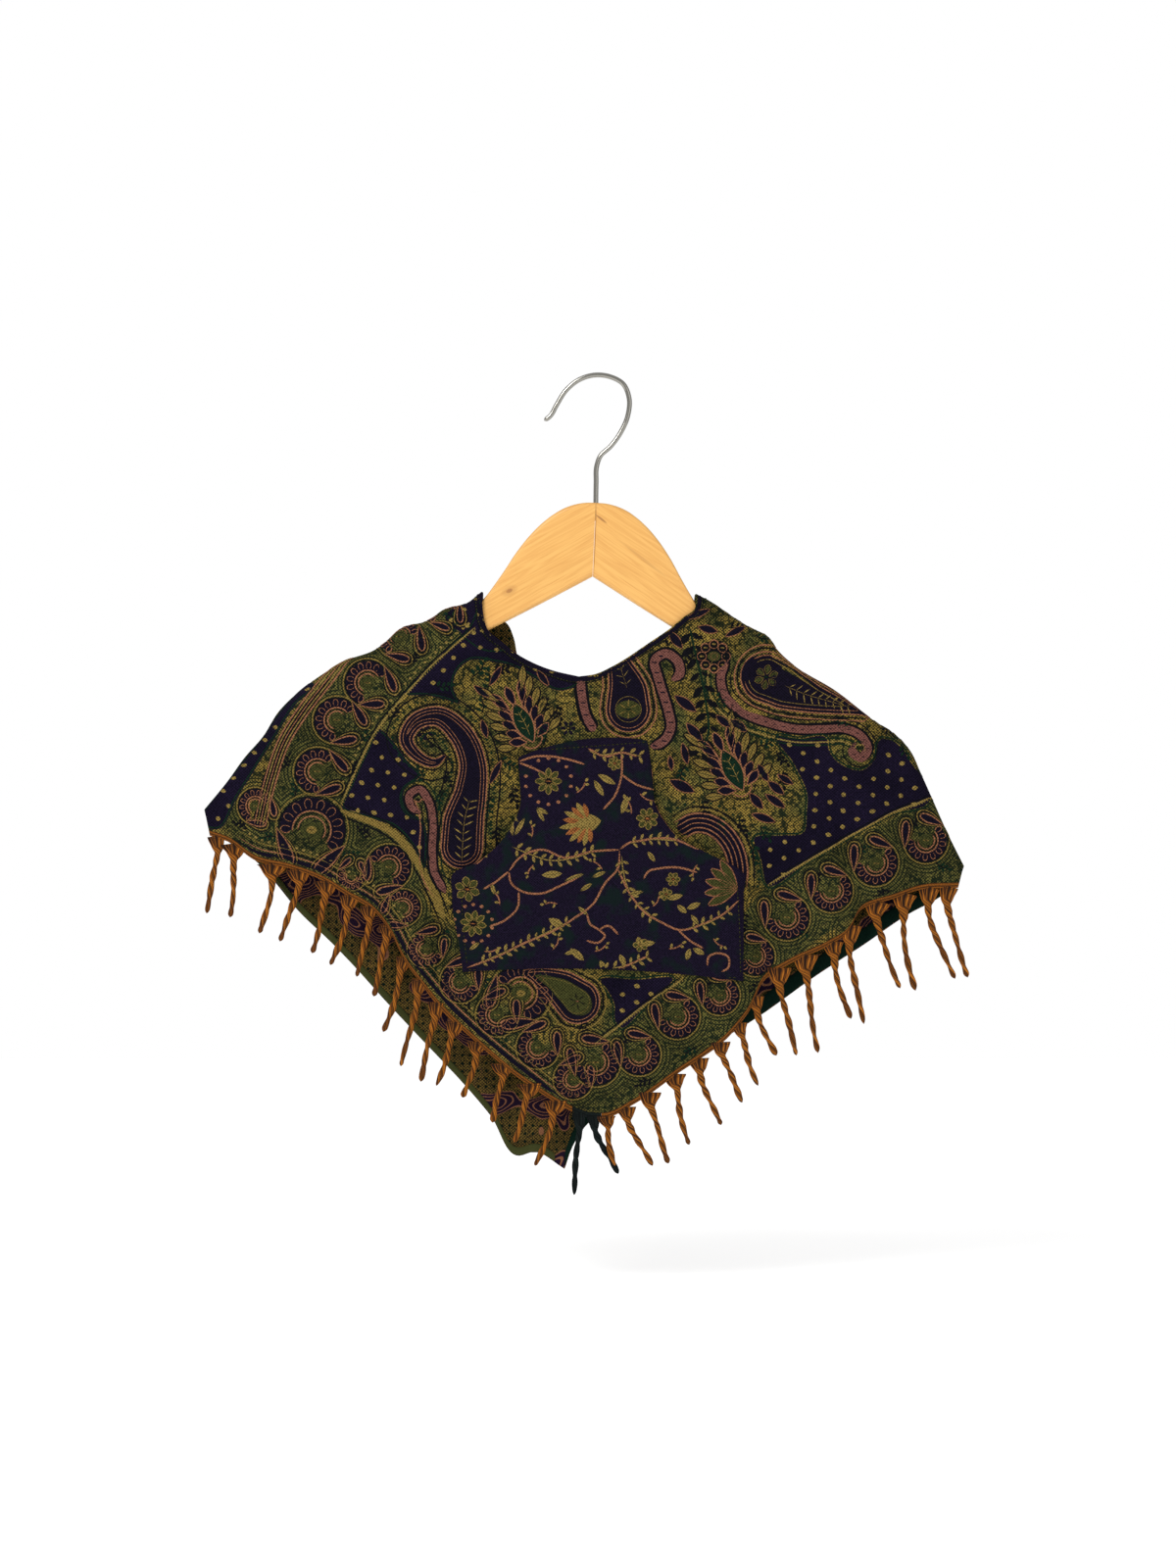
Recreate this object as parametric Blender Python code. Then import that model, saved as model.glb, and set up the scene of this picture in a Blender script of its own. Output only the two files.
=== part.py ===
"""Short fringed poncho with a pouch pocket, hanging flat on a mitred wooden hanger.

Metres, +Z up, +X to the right seen from the front, the front of the garment towards -Y.
The origin is the underside of the hook's top bend, where a rail carries the hanger.
All tables are in millimetres: "across" is along X and "up" is along Z.
"""

from collections import namedtuple
import math

import bpy
import numpy as np
from mathutils import Vector
from mathutils.bvhtree import BVHTree

MM = 0.001
SHARP_EDGE = math.radians(50)   # edges that bend more than this are shaded sharp

# ---- driving dimensions, millimetres -------------------------------------------------

CLOTH = 1.6             # wall of the woven cloth
SEAM_GAP = 0.3          # clearance between pieces that are sewn together
SHOULDER_DEPTH = 8.0    # from the hanger's middle plane to the cloth that lies on its arms
SHOULDER_DROP = 8.0     # height over which the cloth rounds from the fold to the vertical
SHOULDER_ROUND = 0.8    # power of the rounding: under 1 is squarer than an ellipse
CORNER_DEPTH = 2.6      # the same distance at the two side corners, where the layers close
CORNER_REACH = 66.0     # how far in from a side corner the cloth reaches its full depth
FOLD_FADE_IN = 0.30     # share of a fold's run over which it rises
FOLD_FADE_OUT = 0.25    # share of a fold's run over which it dies away
FOLD_AT_CORNER = 0.35   # how much of a fold is left at the side corners
TROUGH_LIMIT = 0.4      # a trough goes no deeper than this below the cloth's base depth

ARM_THICKNESS = 12.0
ARM_EDGE_RADIUS = 3.0
ARM_SHARP_EDGE = math.radians(60)   # only edges that bend more than this are rounded
HANGER_TILT = math.radians(-2.5)
HANGER_TOP = (3.0, -96.0)       # top end of the mitre joint
MITRE_GAP = 0.3

WIRE = 3.8                      # hook wire
SHANK_IN_WOOD = 14.0
SHANK_CLEARANCE = 0.3

POUCH_CLOTH = 1.5
POUCH_SEAM_LIFT = 0.6           # clearance of the sewn edges above the front panel
POUCH_LIFT = 8.5                # how far the pouch stands off in its middle
POUCH_MOUTH_LIFT = 7.0          # how far its two mouths gape
POUCH_CROWN = (0.6, 0.5)        # powers of its swell down and across: under 1 is fuller
RAY_START = -0.2                # metres, a place in front of the whole garment

FRINGE_STRIP_DROP = 0.5         # clearance below the front hem, along the cloth
FRINGE_STRIP_HEIGHT = 4.0
FRINGE_STRIP_WALL = 1.5
STATION_GAP = 1.0               # the strip's points stay this far apart
SAME_PLACE = 1e-6
TASSEL_RINGS = ((0.24, 5.6, 3.4), (0.50, 4.8, 3.4), (0.76, 4.4, 3.2), (1.0, 3.4, 2.6))
TASSEL_WAVE = 1.2               # how far a twisted strand wanders from its straight line

BAND_WALL = 1.0
BAND_GAP = 0.4
BAND_ABOVE_HEM = 0.6
BAND_TOP_LIMIT = 0.3            # share of a line above which a band never starts
BAND_STEPS = (0.0, 0.5, 1.0)    # its rows, from its upper edge to its lower one
LEFT_BAND_WIDTH = 6.5
RIGHT_BAND_WIDTH = 14.0

# ---- edges of the panels: rows of (across, up) ---------------------------------------

LEFT_SHOULDER = (
    (-296, -331), (-278, -309), (-265, -291), (-251, -275), (-239, -256), (-222, -239.5),
    (-204, -226.5), (-190, -218), (-165, -208.5), (-156, -202), (-147, -193.5),
    (-124, -186), (-113, -178.5), (-95, -173), (-84, -164.5),
)
RIGHT_SHOULDER = (
    (79.5, -166.2), (93, -173.5), (105, -182), (121, -192), (134, -198.5), (142, -210),
    (154, -221), (185, -240), (216, -263.5), (232, -274), (243, -286), (251, -303),
    (259.5, -322), (272, -350), (284, -374),
)
FRONT_NECK_LEFT = (
    (-84, -164.5), (-83.5, -178), (-79, -194), (-68, -203), (-59, -210.5), (-45, -218.5),
    (-31, -224), (-10, -229),
)
FRONT_NECK_RIGHT = (
    (-10, -229), (3, -227), (16, -221), (44, -203), (62, -190.5), (69, -184.5), (78.5, -177),
    (79.5, -166.2),
)
BACK_NECK_LEFT = (
    (-84, -164.5), (-83.5, -175), (-75, -182), (-65, -188), (-60, -199), (-57, -213),
    (-40, -233), (-5, -245),
)
BACK_NECK_RIGHT = (
    (-5, -245), (30, -236), (52, -217), (66, -198), (78, -178), (79.5, -166.2),
)
FRONT_HEM_LEFT = (
    (-293, -346), (-278, -351), (-257, -365), (-231, -371), (-208, -379), (-186, -392),
    (-167, -403), (-153, -420), (-143, -440), (-131, -457), (-115, -478), (-93, -499),
    (-48, -536), (-11, -558), (-3, -561),
)
FRONT_HEM_RIGHT = (
    (-3, -561), (11, -561), (31, -551), (64, -528), (102, -501), (118, -482), (132, -456),
    (152, -443), (178, -431), (194, -421), (205, -404), (232, -394), (250, -388), (281, -386),
)
BACK_HEM_LEFT = (
    (-293, -346), (-276, -357), (-259, -369), (-244, -386), (-228, -406), (-196, -437),
    (-154, -483), (-139, -499), (-100, -540), (-78, -566), (-56, -597), (-45, -594),
    (-21, -607),
)
BACK_HEM_RIGHT = (
    (-21, -607), (-15, -590), (-4, -573), (20, -557), (50, -538), (87, -515), (128, -490),
    (173, -458), (205, -437), (244, -410), (266, -398), (281, -386),
)

# ---- folds ---------------------------------------------------------------------------
# A fold runs from 1 to 2, bows sideways, is "width" wide to where it is almost gone and
# stands "proud" of the cloth: a ridge above zero, a trough below.

Fold = namedtuple("Fold", "across_1 up_1 across_2 up_2 bow width proud")

FRONT_FOLDS = (
    Fold(-160, -372, -124, -470, 4, 11, 6.0),       # roll over the left hem
    Fold(-178, -398, -140, -478, 2, 8, -6.0),       # hem tucked under beside that roll
    Fold(-119, -386, -105, -490, 0, 8, -4.0),       # trough left of the pouch
    Fold(128, -380, 130, -480, 0, 8, -4.5),         # trough right of the pouch
    Fold(-204, -246, -226, -386, 6, 24, 4.0),       # falls from the end of the left arm
    Fold(-168, -232, -190, -404, -5, 15, -3.0),
    Fold(-128, -200, -146, -330, 5, 16, 3.0),
    Fold(-252, -290, -262, -372, 0, 13, -2.5),
    Fold(-150, -203, -158, -226, 0, 6, 3.0),        # gathers on the left shoulder
    Fold(-131, -194, -136, -214, 0, 5, 2.5),
    Fold(-115, -187, -119, -206, 0, 4.5, 2.2),
    Fold(-100, -180, -102, -201, 0, 4.5, 2.4),
    Fold(98, -190, 136, -214, -3, 10, 5.0),         # puff on the right shoulder
    Fold(148, -224, 112, -250, 4, 8, -2.5),
    Fold(190, -256, 236, -400, -8, 22, 4.5),        # falls from the end of the right arm
    Fold(176, -282, 207, -426, 4, 9, -4.5),         # pleat that steps the right hem
    Fold(162, -290, 192, -436, 3, 9, 3.0),
    Fold(250, -330, 262, -404, 0, 11, -2.5),
    Fold(-64, -470, -44, -560, -4, 15, 3.0),        # soft folds below the pouch
    Fold(-24, -466, -4, -580, 3, 11, -3.0),
    Fold(52, -474, 40, -566, 3, 17, 3.0),
    Fold(84, -480, 88, -530, 0, 9, -2.0),
)
BACK_FOLDS = (
    Fold(-200, -250, -236, -420, -6, 22, 4.5),
    Fold(-160, -240, -196, -470, 6, 15, -4.0),
    Fold(-118, -230, -146, -520, 6, 18, 4.5),
    Fold(-84, -270, -104, -560, -4, 14, -3.5),
    Fold(-50, -280, -62, -610, 3, 18, 4.0),
    Fold(-10, -290, -16, -620, -3, 13, -3.5),
    Fold(40, -280, 44, -560, 4, 20, 4.0),
    Fold(84, -240, 100, -530, -5, 14, -4.0),
    Fold(124, -232, 150, -500, 5, 18, 4.5),
    Fold(168, -260, 200, -460, -3, 13, -3.5),
    Fold(206, -280, 244, -430, -5, 18, 3.5),
    Fold(-142, -205, -148, -228, 0, 6, 2.6),
    Fold(-112, -190, -117, -212, 0, 5, 2.4),
    Fold(104, -194, 138, -216, -3, 9, 3.5),
)

# A panel is a fan of lines from its top edge to its hem. Each half has a shoulder stretch
# and a neck stretch, and the shoulder stretch takes the named share of the hem's length.

Panel = namedtuple(
    "Panel",
    "name side neck_left neck_right hem_left hem_right share_left share_right belly hem_belly folds",
)

FRONT = Panel(
    "front_panel", -1, FRONT_NECK_LEFT, FRONT_NECK_RIGHT, FRONT_HEM_LEFT, FRONT_HEM_RIGHT,
    0.60, 0.64, 8.0, 4.0, FRONT_FOLDS,
)
BACK = Panel(
    "back_panel", 1, BACK_NECK_LEFT, BACK_NECK_RIGHT, BACK_HEM_LEFT, BACK_HEM_RIGHT,
    0.54, 0.64, 8.0, 6.0, BACK_FOLDS,
)

SHOULDER_COLUMNS = 16
NECK_COLUMNS = 10
NECK_CROWDING = 1.5     # power that brings the neck's lines closer together at the hanger
ROUND_ANGLES = (0, 28, 58, 90)  # degrees round the shoulder fold
HANGING_ROWS = 16

# ---- pouch: one row for each level, from the top edge down ---------------------------
# "gape" is the share of the mouth's lift that the row's two ends have.

PouchRow = namedtuple("PouchRow", "left_across left_up right_across right_up bow gape")

POUCH_ROWS = (
    PouchRow(-56, -291, 42, -278, 7, 0.0),
    PouchRow(-55, -302, 44, -292, 5, 0.0),
    PouchRow(-54, -315, 46, -310, 2, 0.0),
    PouchRow(-54, -327, 48, -327, 0, 0.15),
    PouchRow(-59, -340, 55, -340, 0, 0.75),
    PouchRow(-69, -355, 67, -353, 0, 1.0),
    PouchRow(-86, -370, 88, -364, 0, 0.8),
    PouchRow(-105, -379, 114, -378, 0, 0.2),
    PouchRow(-106, -392, 115, -394, 0, 0.0),
    PouchRow(-105, -410, 115, -413, 1, 0.0),
    PouchRow(-101, -432, 115, -438, 3, 0.0),
    PouchRow(-98, -454, 115, -461, 6, 0.0),
)
POUCH_COLUMNS = 18

# ---- fringe: one row for each tassel -------------------------------------------------

Tassel = namedtuple("Tassel", "root_across root_width tip_across tip_up tip_back", defaults=(0,))

LEFT_TASSELS = (
    Tassel(-288, 7, -295, -410), Tassel(-274, 12, -277, -413), Tassel(-244, 17, -253, -425),
    Tassel(-224, 14, -238, -431), Tassel(-203, 15, -214, -440), Tassel(-185, 13, -199, -449),
    Tassel(-170, 12, -179, -458), Tassel(-156, 9, -167, -473), Tassel(-143, 8, -159, -500),
    Tassel(-131, 9, -145, -526), Tassel(-118, 10, -131, -538), Tassel(-104, 10, -119, -541),
    Tassel(-87, 13, -98, -550), Tassel(-68, 13, -76, -569), Tassel(-48, 14, -60, -584),
    Tassel(-28, 13, -43, -602),
)
TIP_TASSELS = (Tassel(-10, 7, -14, -625, 3), Tassel(1, 7, 20, -609, 7))
RIGHT_TASSELS = (
    Tassel(11, 6, 17, -602), Tassel(26, 14, 46, -602), Tassel(44, 14, 59, -600),
    Tassel(63, 13, 74, -586), Tassel(81, 14, 98, -571), Tassel(98, 12, 115, -554),
    Tassel(112, 9, 127, -541), Tassel(124, 7, 140, -518), Tassel(143, 11, 156, -518),
    Tassel(163, 13, 173, -516), Tassel(184, 13, 197, -490), Tassel(198, 6, 207, -494),
    Tassel(219, 14, 236, -467), Tassel(240, 12, 247, -469), Tassel(259, 13, 277, -460),
    Tassel(274, 8, 288, -459),
)
TIP_TAB = (-15.0, 7.0)          # the dark tab's two ends, across

# ---- hanger, in its own upright frame from the top of the mitre ----------------------

ARM_TOP = (
    (0, 0), (8, -0.3), (16, -2), (24, -5.2), (32, -10.3), (41, -18), (50, -28), (59, -40.5),
    (68, -55.5), (75, -66.5), (82, -76.5), (100, -90), (161, -125), (201, -149), (213, -157),
)
ARM_END = ((221, -164), (223, -171), (218, -178), (209, -179.5))
ARM_BOTTOM = ((140, -136.5), (73, -98.3), (0, -56.3))

HOOK_ROUTE = (
    (3.0, -110), (3.0, -96), (3.2, -80), (3.6, -68), (6.5, -60), (14, -53), (22, -42),
    (27.5, -29), (28.5, -16), (24, -5), (14, 0.6), (2, 1.9), (-10, -1.8), (-20, -10),
    (-27, -21), (-32, -29.5), (-36.5, -33),
)
HOOK_POINTS = 52


# ---- small tools ---------------------------------------------------------------------

def clear_scene():
    """Remove every object, so that the model starts from nothing."""
    for obj in list(bpy.data.objects):
        bpy.data.objects.remove(obj, do_unlink=True)


def finish(name, colour, roughness, metallic=0.0):
    """A Principled material of one plain colour."""
    material = bpy.data.materials.new(name)
    material.use_nodes = True
    shader = material.node_tree.nodes["Principled BSDF"]
    shader.inputs["Base Color"].default_value = (*colour, 1.0)
    shader.inputs["Roughness"].default_value = roughness
    shader.inputs["Metallic"].default_value = metallic
    material.diffuse_color = (*colour, 1.0)
    return material


def add_mesh(name, points, faces, material):
    """A mesh object from points in millimetres."""
    mesh = bpy.data.meshes.new(name)
    mesh.from_pydata((np.asarray(points) * MM).tolist(), [], faces)
    mesh.update()
    mesh.shade_smooth()
    mesh.set_sharp_from_angle(angle=SHARP_EDGE)
    mesh.materials.append(material)
    obj = bpy.data.objects.new(name, mesh)
    bpy.context.scene.collection.objects.link(obj)
    return obj


def ease(share):
    """0 to 1 with level ends."""
    share = np.clip(share, 0.0, 1.0)
    return share * share * (3.0 - 2.0 * share)


def unit(vectors):
    """Vectors made one long."""
    return vectors / np.linalg.norm(vectors, axis=-1, keepdims=True)


def smooth_path(points, shares):
    """Points at shares of the length of a smooth curve through the given points."""
    points = np.asarray(points, float)
    steps = np.linalg.norm(np.diff(points, axis=0), axis=1)
    knots = np.concatenate([[0.0], np.cumsum(steps)])
    slopes = np.gradient(points, knots, axis=0)
    places = np.asarray(shares, float) * knots[-1]
    index = np.clip(np.searchsorted(knots, places, side="right") - 1, 0, len(steps) - 1)
    span = steps[index][:, None]
    s = ((places - knots[index]) / steps[index])[:, None]
    return (
        points[index] * (2 * s**3 - 3 * s**2 + 1)
        + slopes[index] * span * (s**3 - 2 * s**2 + s)
        + points[index + 1] * (3 * s**2 - 2 * s**3)
        + slopes[index + 1] * span * (s**3 - s**2)
    )


def relief(folds, across, up):
    """How far the folds push the cloth out at each place: a soft bell across each fold."""
    total = np.zeros_like(across)
    for fold in folds:
        run = math.hypot(fold.across_2 - fold.across_1, fold.up_2 - fold.up_1)
        way = ((fold.across_2 - fold.across_1) / run, (fold.up_2 - fold.up_1) / run)
        along = ((across - fold.across_1) * way[0] + (up - fold.up_1) * way[1]) / run
        inside = np.clip(along, 0.0, 1.0)
        off = (up - fold.up_1) * way[0] - (across - fold.across_1) * way[1]
        off = off - fold.bow * 4 * inside * (1 - inside)
        fade = ease(along / FOLD_FADE_IN) * ease((1.0 - along) / FOLD_FADE_OUT)
        total += fold.proud * np.exp(-((off / fold.width) ** 2)) * fade
    return total


# ---- panels --------------------------------------------------------------------------

def fan_lines(panel):
    """Top end and hem end of each line of the panel's fan, and the run down the neck edge.

    The run is 0 on the shoulders and grows along the neck from the nearer shoulder.
    """
    outer = np.linspace(0, 1, SHOULDER_COLUMNS + 1)
    inner = np.linspace(0, 1, NECK_COLUMNS + 1)[1:]
    crowded = inner**NECK_CROWDING
    tops = np.concatenate([
        smooth_path(LEFT_SHOULDER, outer),
        smooth_path(panel.neck_left, crowded),
        smooth_path(panel.neck_right, np.append(1 - crowded[-2::-1], 1.0)),
        smooth_path(RIGHT_SHOULDER, outer[1:]),
    ])
    left = np.concatenate([
        panel.share_left * outer,
        panel.share_left + (1 - panel.share_left) * inner,
    ])
    right = 1 - np.concatenate([
        panel.share_right * outer,
        panel.share_right + (1 - panel.share_right) * inner,
    ])[::-1]
    hems = np.concatenate([
        smooth_path(panel.hem_left, left),
        smooth_path(panel.hem_right, right[1:]),
    ])
    run = np.zeros(len(tops))
    first, last = SHOULDER_COLUMNS, SHOULDER_COLUMNS + 2 * NECK_COLUMNS
    steps = np.linalg.norm(np.diff(tops[first:last + 1], axis=0), axis=1)
    down = np.concatenate([[0.0], np.cumsum(steps)])
    run[first:last + 1] = np.minimum(down, down[-1] - down)
    return tops, hems, run


def panel_points(panel, tops, hems, run, rows_below):
    """Middle surface of a panel: rows round the shoulder fold, then rows down to the hem."""
    length = np.linalg.norm(hems - tops, axis=1)
    drop = np.minimum(SHOULDER_DROP, 0.4 * length)
    angles = np.radians(ROUND_ANGLES)
    lowered = 1 - np.cos(angles) ** SHOULDER_ROUND
    rounded = np.sin(angles) ** SHOULDER_ROUND
    down = np.concatenate([
        drop * lowered[:, None],
        drop + (length - drop) * np.asarray(rows_below)[:, None],
    ])
    out = np.concatenate([rounded, np.ones(len(rows_below))])[:, None]
    share = down / length
    across = tops[:, 0] + (hems[:, 0] - tops[:, 0]) * share
    up = tops[:, 1] + (hems[:, 1] - tops[:, 1]) * share

    from_corner = np.minimum(tops[:, 0] - tops[0, 0], tops[-1, 0] - tops[:, 0])
    full = ease(from_corner / CORNER_REACH)
    base = CORNER_DEPTH + (SHOULDER_DEPTH - CORNER_DEPTH) * full
    turned = np.clip(run / SHOULDER_DROP, 0.0, 1.0)
    turned = np.sin(np.arccos(1 - turned)) ** SHOULDER_ROUND
    edge = SEAM_GAP / 2 + (base - SEAM_GAP / 2) * turned
    middle_bulge = 4 * share * (1 - share) * panel.belly
    hem_bulge = share**2 * panel.hem_belly
    depth = base + full * (middle_bulge + hem_bulge)
    folded = FOLD_AT_CORNER + (1 - FOLD_AT_CORNER) * full
    depth = depth + folded * relief(panel.folds, across, up)
    depth = np.maximum(depth, base - TROUGH_LIMIT)
    away = edge + (depth - edge) * out
    return np.stack([across, panel.side * away, up], axis=-1)


def surface_normals(points, side):
    """Outward unit normals of a grid of points."""
    along = np.gradient(points, axis=1)
    down = np.gradient(points, axis=0)
    normals = unit(np.cross(along, down))
    facing = np.sign(np.sum(normals[..., 1]) * side)
    return normals * facing


def panel_surface(panel, rows_below=None):
    """Middle surface and outward normals of a panel."""
    if rows_below is None:
        rows_below = np.linspace(0, 1, HANGING_ROWS + 1)[1:]
    tops, hems, run = fan_lines(panel)
    points = panel_points(panel, tops, hems, run, rows_below)
    normals = surface_normals(points, panel.side)
    on_seam = run == 0
    normals[0, on_seam, 1] = 0.0
    normals[0, on_seam] = unit(normals[0, on_seam])
    return points, normals


def wall_mesh(name, outer, inner, side, material):
    """A closed wall between two grids of the same shape."""
    rows, columns = outer.shape[:2]
    count = rows * columns
    number = np.arange(count).reshape(rows, columns)
    faces = []
    for row in range(rows - 1):
        for column in range(columns - 1):
            a, b = number[row, column], number[row, column + 1]
            c, d = number[row + 1, column + 1], number[row + 1, column]
            faces.append((a, d, c, b))
            faces.append((a + count, b + count, c + count, d + count))
    rim = np.concatenate([
        number[0, :-1], number[:-1, -1], number[-1, :0:-1], number[:0:-1, 0],
    ])
    for a, b in zip(rim, np.roll(rim, -1)):
        faces.append((a, b, b + count, a + count))
    if side > 0:
        faces = [face[::-1] for face in faces]
    faces = [tuple(int(i) for i in face) for face in faces]
    points = np.concatenate([outer.reshape(-1, 3), inner.reshape(-1, 3)])
    return add_mesh(name, points, faces, material)


def build_panel(panel, material):
    points, normals = panel_surface(panel)
    outer = points + normals * CLOTH / 2
    inner = points - normals * CLOTH / 2
    return wall_mesh(panel.name, outer, inner, panel.side, material)


# ---- bands inside the back hem -------------------------------------------------------

def build_band(name, panel, first, last, width, material):
    """A narrow strip on the inner face of a panel, just above its hem.

    It is made from the panel's own lines, so it follows every fold of the hem.
    """
    tops, hems, _ = fan_lines(panel)
    length = np.linalg.norm(hems - tops, axis=1)
    start = np.clip(1 - width / length, BAND_TOP_LIMIT, 1.0)
    stop = 1 - BAND_ABOVE_HEM / length
    points, normals = panel_surface(panel)
    hung = points[len(ROUND_ANGLES):]
    hung_normals = normals[len(ROUND_ANGLES):]
    shares = np.linspace(0, 1, len(hung) + 1)[1:]
    rows = []
    for step in BAND_STEPS:
        wanted = start + (stop - start) * step
        row = []
        for column in range(first, last + 1):
            place = [
                np.interp(wanted[column], shares, hung[:, column, axis]) for axis in range(3)
            ]
            facing = [
                np.interp(wanted[column], shares, hung_normals[:, column, axis])
                for axis in range(3)
            ]
            row.append((place, facing))
        rows.append(row)
    places = np.array([[place for place, _ in row] for row in rows])
    facings = unit(np.array([[facing for _, facing in row] for row in rows]))
    near = places - facings * (CLOTH / 2 + BAND_GAP)
    far = places - facings * (CLOTH / 2 + BAND_GAP + BAND_WALL)
    return wall_mesh(name, near, far, panel.side, material)


# ---- pouch ---------------------------------------------------------------------------

def build_pouch(front_object, material):
    """The pouch stands off the front panel: each of its points is found on that panel."""
    tree = BVHTree.FromObject(front_object, bpy.context.evaluated_depsgraph_get())
    table = np.array(POUCH_ROWS, float)
    share = np.linspace(0, 1, POUCH_COLUMNS + 1)
    across = table[:, :1] + (table[:, 2:3] - table[:, :1]) * share
    up = table[:, 1:2] + (table[:, 3:4] - table[:, 1:2]) * share
    up = up + table[:, 4:5] * 4 * share * (1 - share)
    level = np.linspace(0, 1, len(POUCH_ROWS))[:, None]
    swell = np.sin(math.pi * share) ** POUCH_CROWN[1]
    crown = np.sin(math.pi * level) ** POUCH_CROWN[0] * swell
    gape = table[:, 5:6] * (1 - swell)
    lift = POUCH_SEAM_LIFT + POUCH_LIFT * crown + POUCH_MOUTH_LIFT * gape
    depth = np.empty_like(across)
    for index in np.ndindex(across.shape):
        start = Vector((across[index] * MM, RAY_START, up[index] * MM))
        hit = tree.ray_cast(start, Vector((0, 1, 0)))[0]
        depth[index] = hit.y / MM
    points = np.stack([across, depth - lift - POUCH_CLOTH / 2, up], axis=-1)
    normals = surface_normals(points, -1)
    outer = points + normals * POUCH_CLOTH / 2
    inner = points - normals * POUCH_CLOTH / 2
    return wall_mesh("front_pocket", outer, inner, -1, material)


# ---- fringe --------------------------------------------------------------------------

class FringeMesh:
    """Collects the points and faces of one strip with its tassels."""

    def __init__(self):
        self.points = []
        self.faces = []

    def add(self, point):
        """Keep a point and give its number."""
        self.points.append(np.asarray(point, float))
        return len(self.points) - 1

    def face(self, *corners):
        """Keep a face."""
        self.faces.append(tuple(corners))

    def fan(self, edge, left, right):
        """Join an edge of any number of points to the two points below it."""
        middle = len(edge) // 2
        for a, b in zip(edge[:middle], edge[1:middle + 1]):
            self.face(left, b, a)
        self.face(left, right, edge[middle])
        for a, b in zip(edge[middle:-1], edge[middle + 1:]):
            self.face(right, b, a)


def hem_line(panel):
    """The front hem's points, its outward normals and the way the cloth hangs there."""
    points, normals = panel_surface(panel)
    hang = unit(points[-1] - points[-2])
    return points[-1], normals[-1], hang


def on_line(line, values, across):
    """Values carried along the hem, read at places across."""
    read = [np.interp(across, line[:, 0], values[:, axis]) for axis in range(3)]
    return np.stack(read, axis=-1)


def strand_rings(start, tip, index):
    """Centres and half sizes of a strand's rings, wandering a little as it twists."""
    rings = []
    for step, (share, wide, thick) in enumerate(TASSEL_RINGS):
        centre = start + (tip - start) * share
        wander = TASSEL_WAVE * math.sin(2.1 * index + 2.4 * step) * (1 - 0.4 * share)
        centre = centre + np.array([wander, 0.5 * wander, 0.0])
        rings.append((centre, wide / 2, thick / 2))
    return rings


def build_fringe(name, panel, ends, tassels, material):
    """A strip just below the hem, with each tassel growing out of its lower edge."""
    line, normals, hang = hem_line(panel)
    order = np.argsort(line[:, 0])
    line, normals, hang = line[order], normals[order], hang[order]
    cells = [(t.root_across - t.root_width / 2, t.root_across + t.root_width / 2) for t in tassels]
    kept = [x for x in line[:, 0] if ends[0] + STATION_GAP < x < ends[1] - STATION_GAP]
    cut = [x for cell in cells for x in cell]
    kept = [x for x in kept if min(abs(x - c) for c in cut) > STATION_GAP]
    stations = np.array(sorted([ends[0], ends[1]] + cut + kept))
    places = on_line(line, line, stations)
    facing = unit(on_line(line, normals, stations))
    falling = unit(on_line(line, hang, stations))
    top = places + falling * FRINGE_STRIP_DROP
    bottom = places + falling * (FRINGE_STRIP_DROP + FRINGE_STRIP_HEIGHT)
    half = facing * FRINGE_STRIP_WALL / 2

    mesh = FringeMesh()
    front_top = [mesh.add(p) for p in top + half]
    front_low = [mesh.add(p) for p in bottom + half]
    back_top = [mesh.add(p) for p in top - half]
    back_low = [mesh.add(p) for p in bottom - half]
    last = len(stations) - 1
    rooted = np.zeros(last, bool)
    for low, high in cells:
        rooted |= (stations[:-1] > low - SAME_PLACE) & (stations[1:] < high + SAME_PLACE)
    for i in range(last):
        mesh.face(front_top[i], front_low[i], front_low[i + 1], front_top[i + 1])
        mesh.face(back_top[i + 1], back_low[i + 1], back_low[i], back_top[i])
        mesh.face(back_top[i], front_top[i], front_top[i + 1], back_top[i + 1])
        if not rooted[i]:
            mesh.face(front_low[i], back_low[i], back_low[i + 1], front_low[i + 1])
    mesh.face(front_top[0], back_top[0], back_low[0], front_low[0])
    mesh.face(front_top[last], front_low[last], back_low[last], back_top[last])

    for index, (tassel, (low, high)) in enumerate(zip(tassels, cells)):
        within = (stations >= low - SAME_PLACE) & (stations <= high + SAME_PLACE)
        inside = np.flatnonzero(within).tolist()
        root = bottom[inside].mean(axis=0)
        tip = np.array([tassel.tip_across, root[1] + tassel.tip_back, tassel.tip_up])
        upper_front = [front_low[i] for i in inside]
        upper_back = [back_low[i] for i in inside]
        ring = None
        for centre, wide, thick in strand_rings(root, tip, index):
            corners = [
                mesh.add(centre + np.array([-wide, -thick, 0])),
                mesh.add(centre + np.array([wide, -thick, 0])),
                mesh.add(centre + np.array([wide, thick, 0])),
                mesh.add(centre + np.array([-wide, thick, 0])),
            ]
            if ring is None:
                mesh.fan(upper_front, corners[0], corners[1])
                mesh.fan(upper_back[::-1], corners[2], corners[3])
                mesh.face(upper_back[0], corners[3], corners[0], upper_front[0])
                mesh.face(upper_front[-1], corners[1], corners[2], upper_back[-1])
            else:
                for k in range(4):
                    n = (k + 1) % 4
                    mesh.face(ring[k], corners[k], corners[n], ring[n])
            ring = corners
        mesh.face(ring[3], ring[2], ring[1], ring[0])
    return add_mesh(name, mesh.points, mesh.faces, material)


# ---- hanger --------------------------------------------------------------------------

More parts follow.
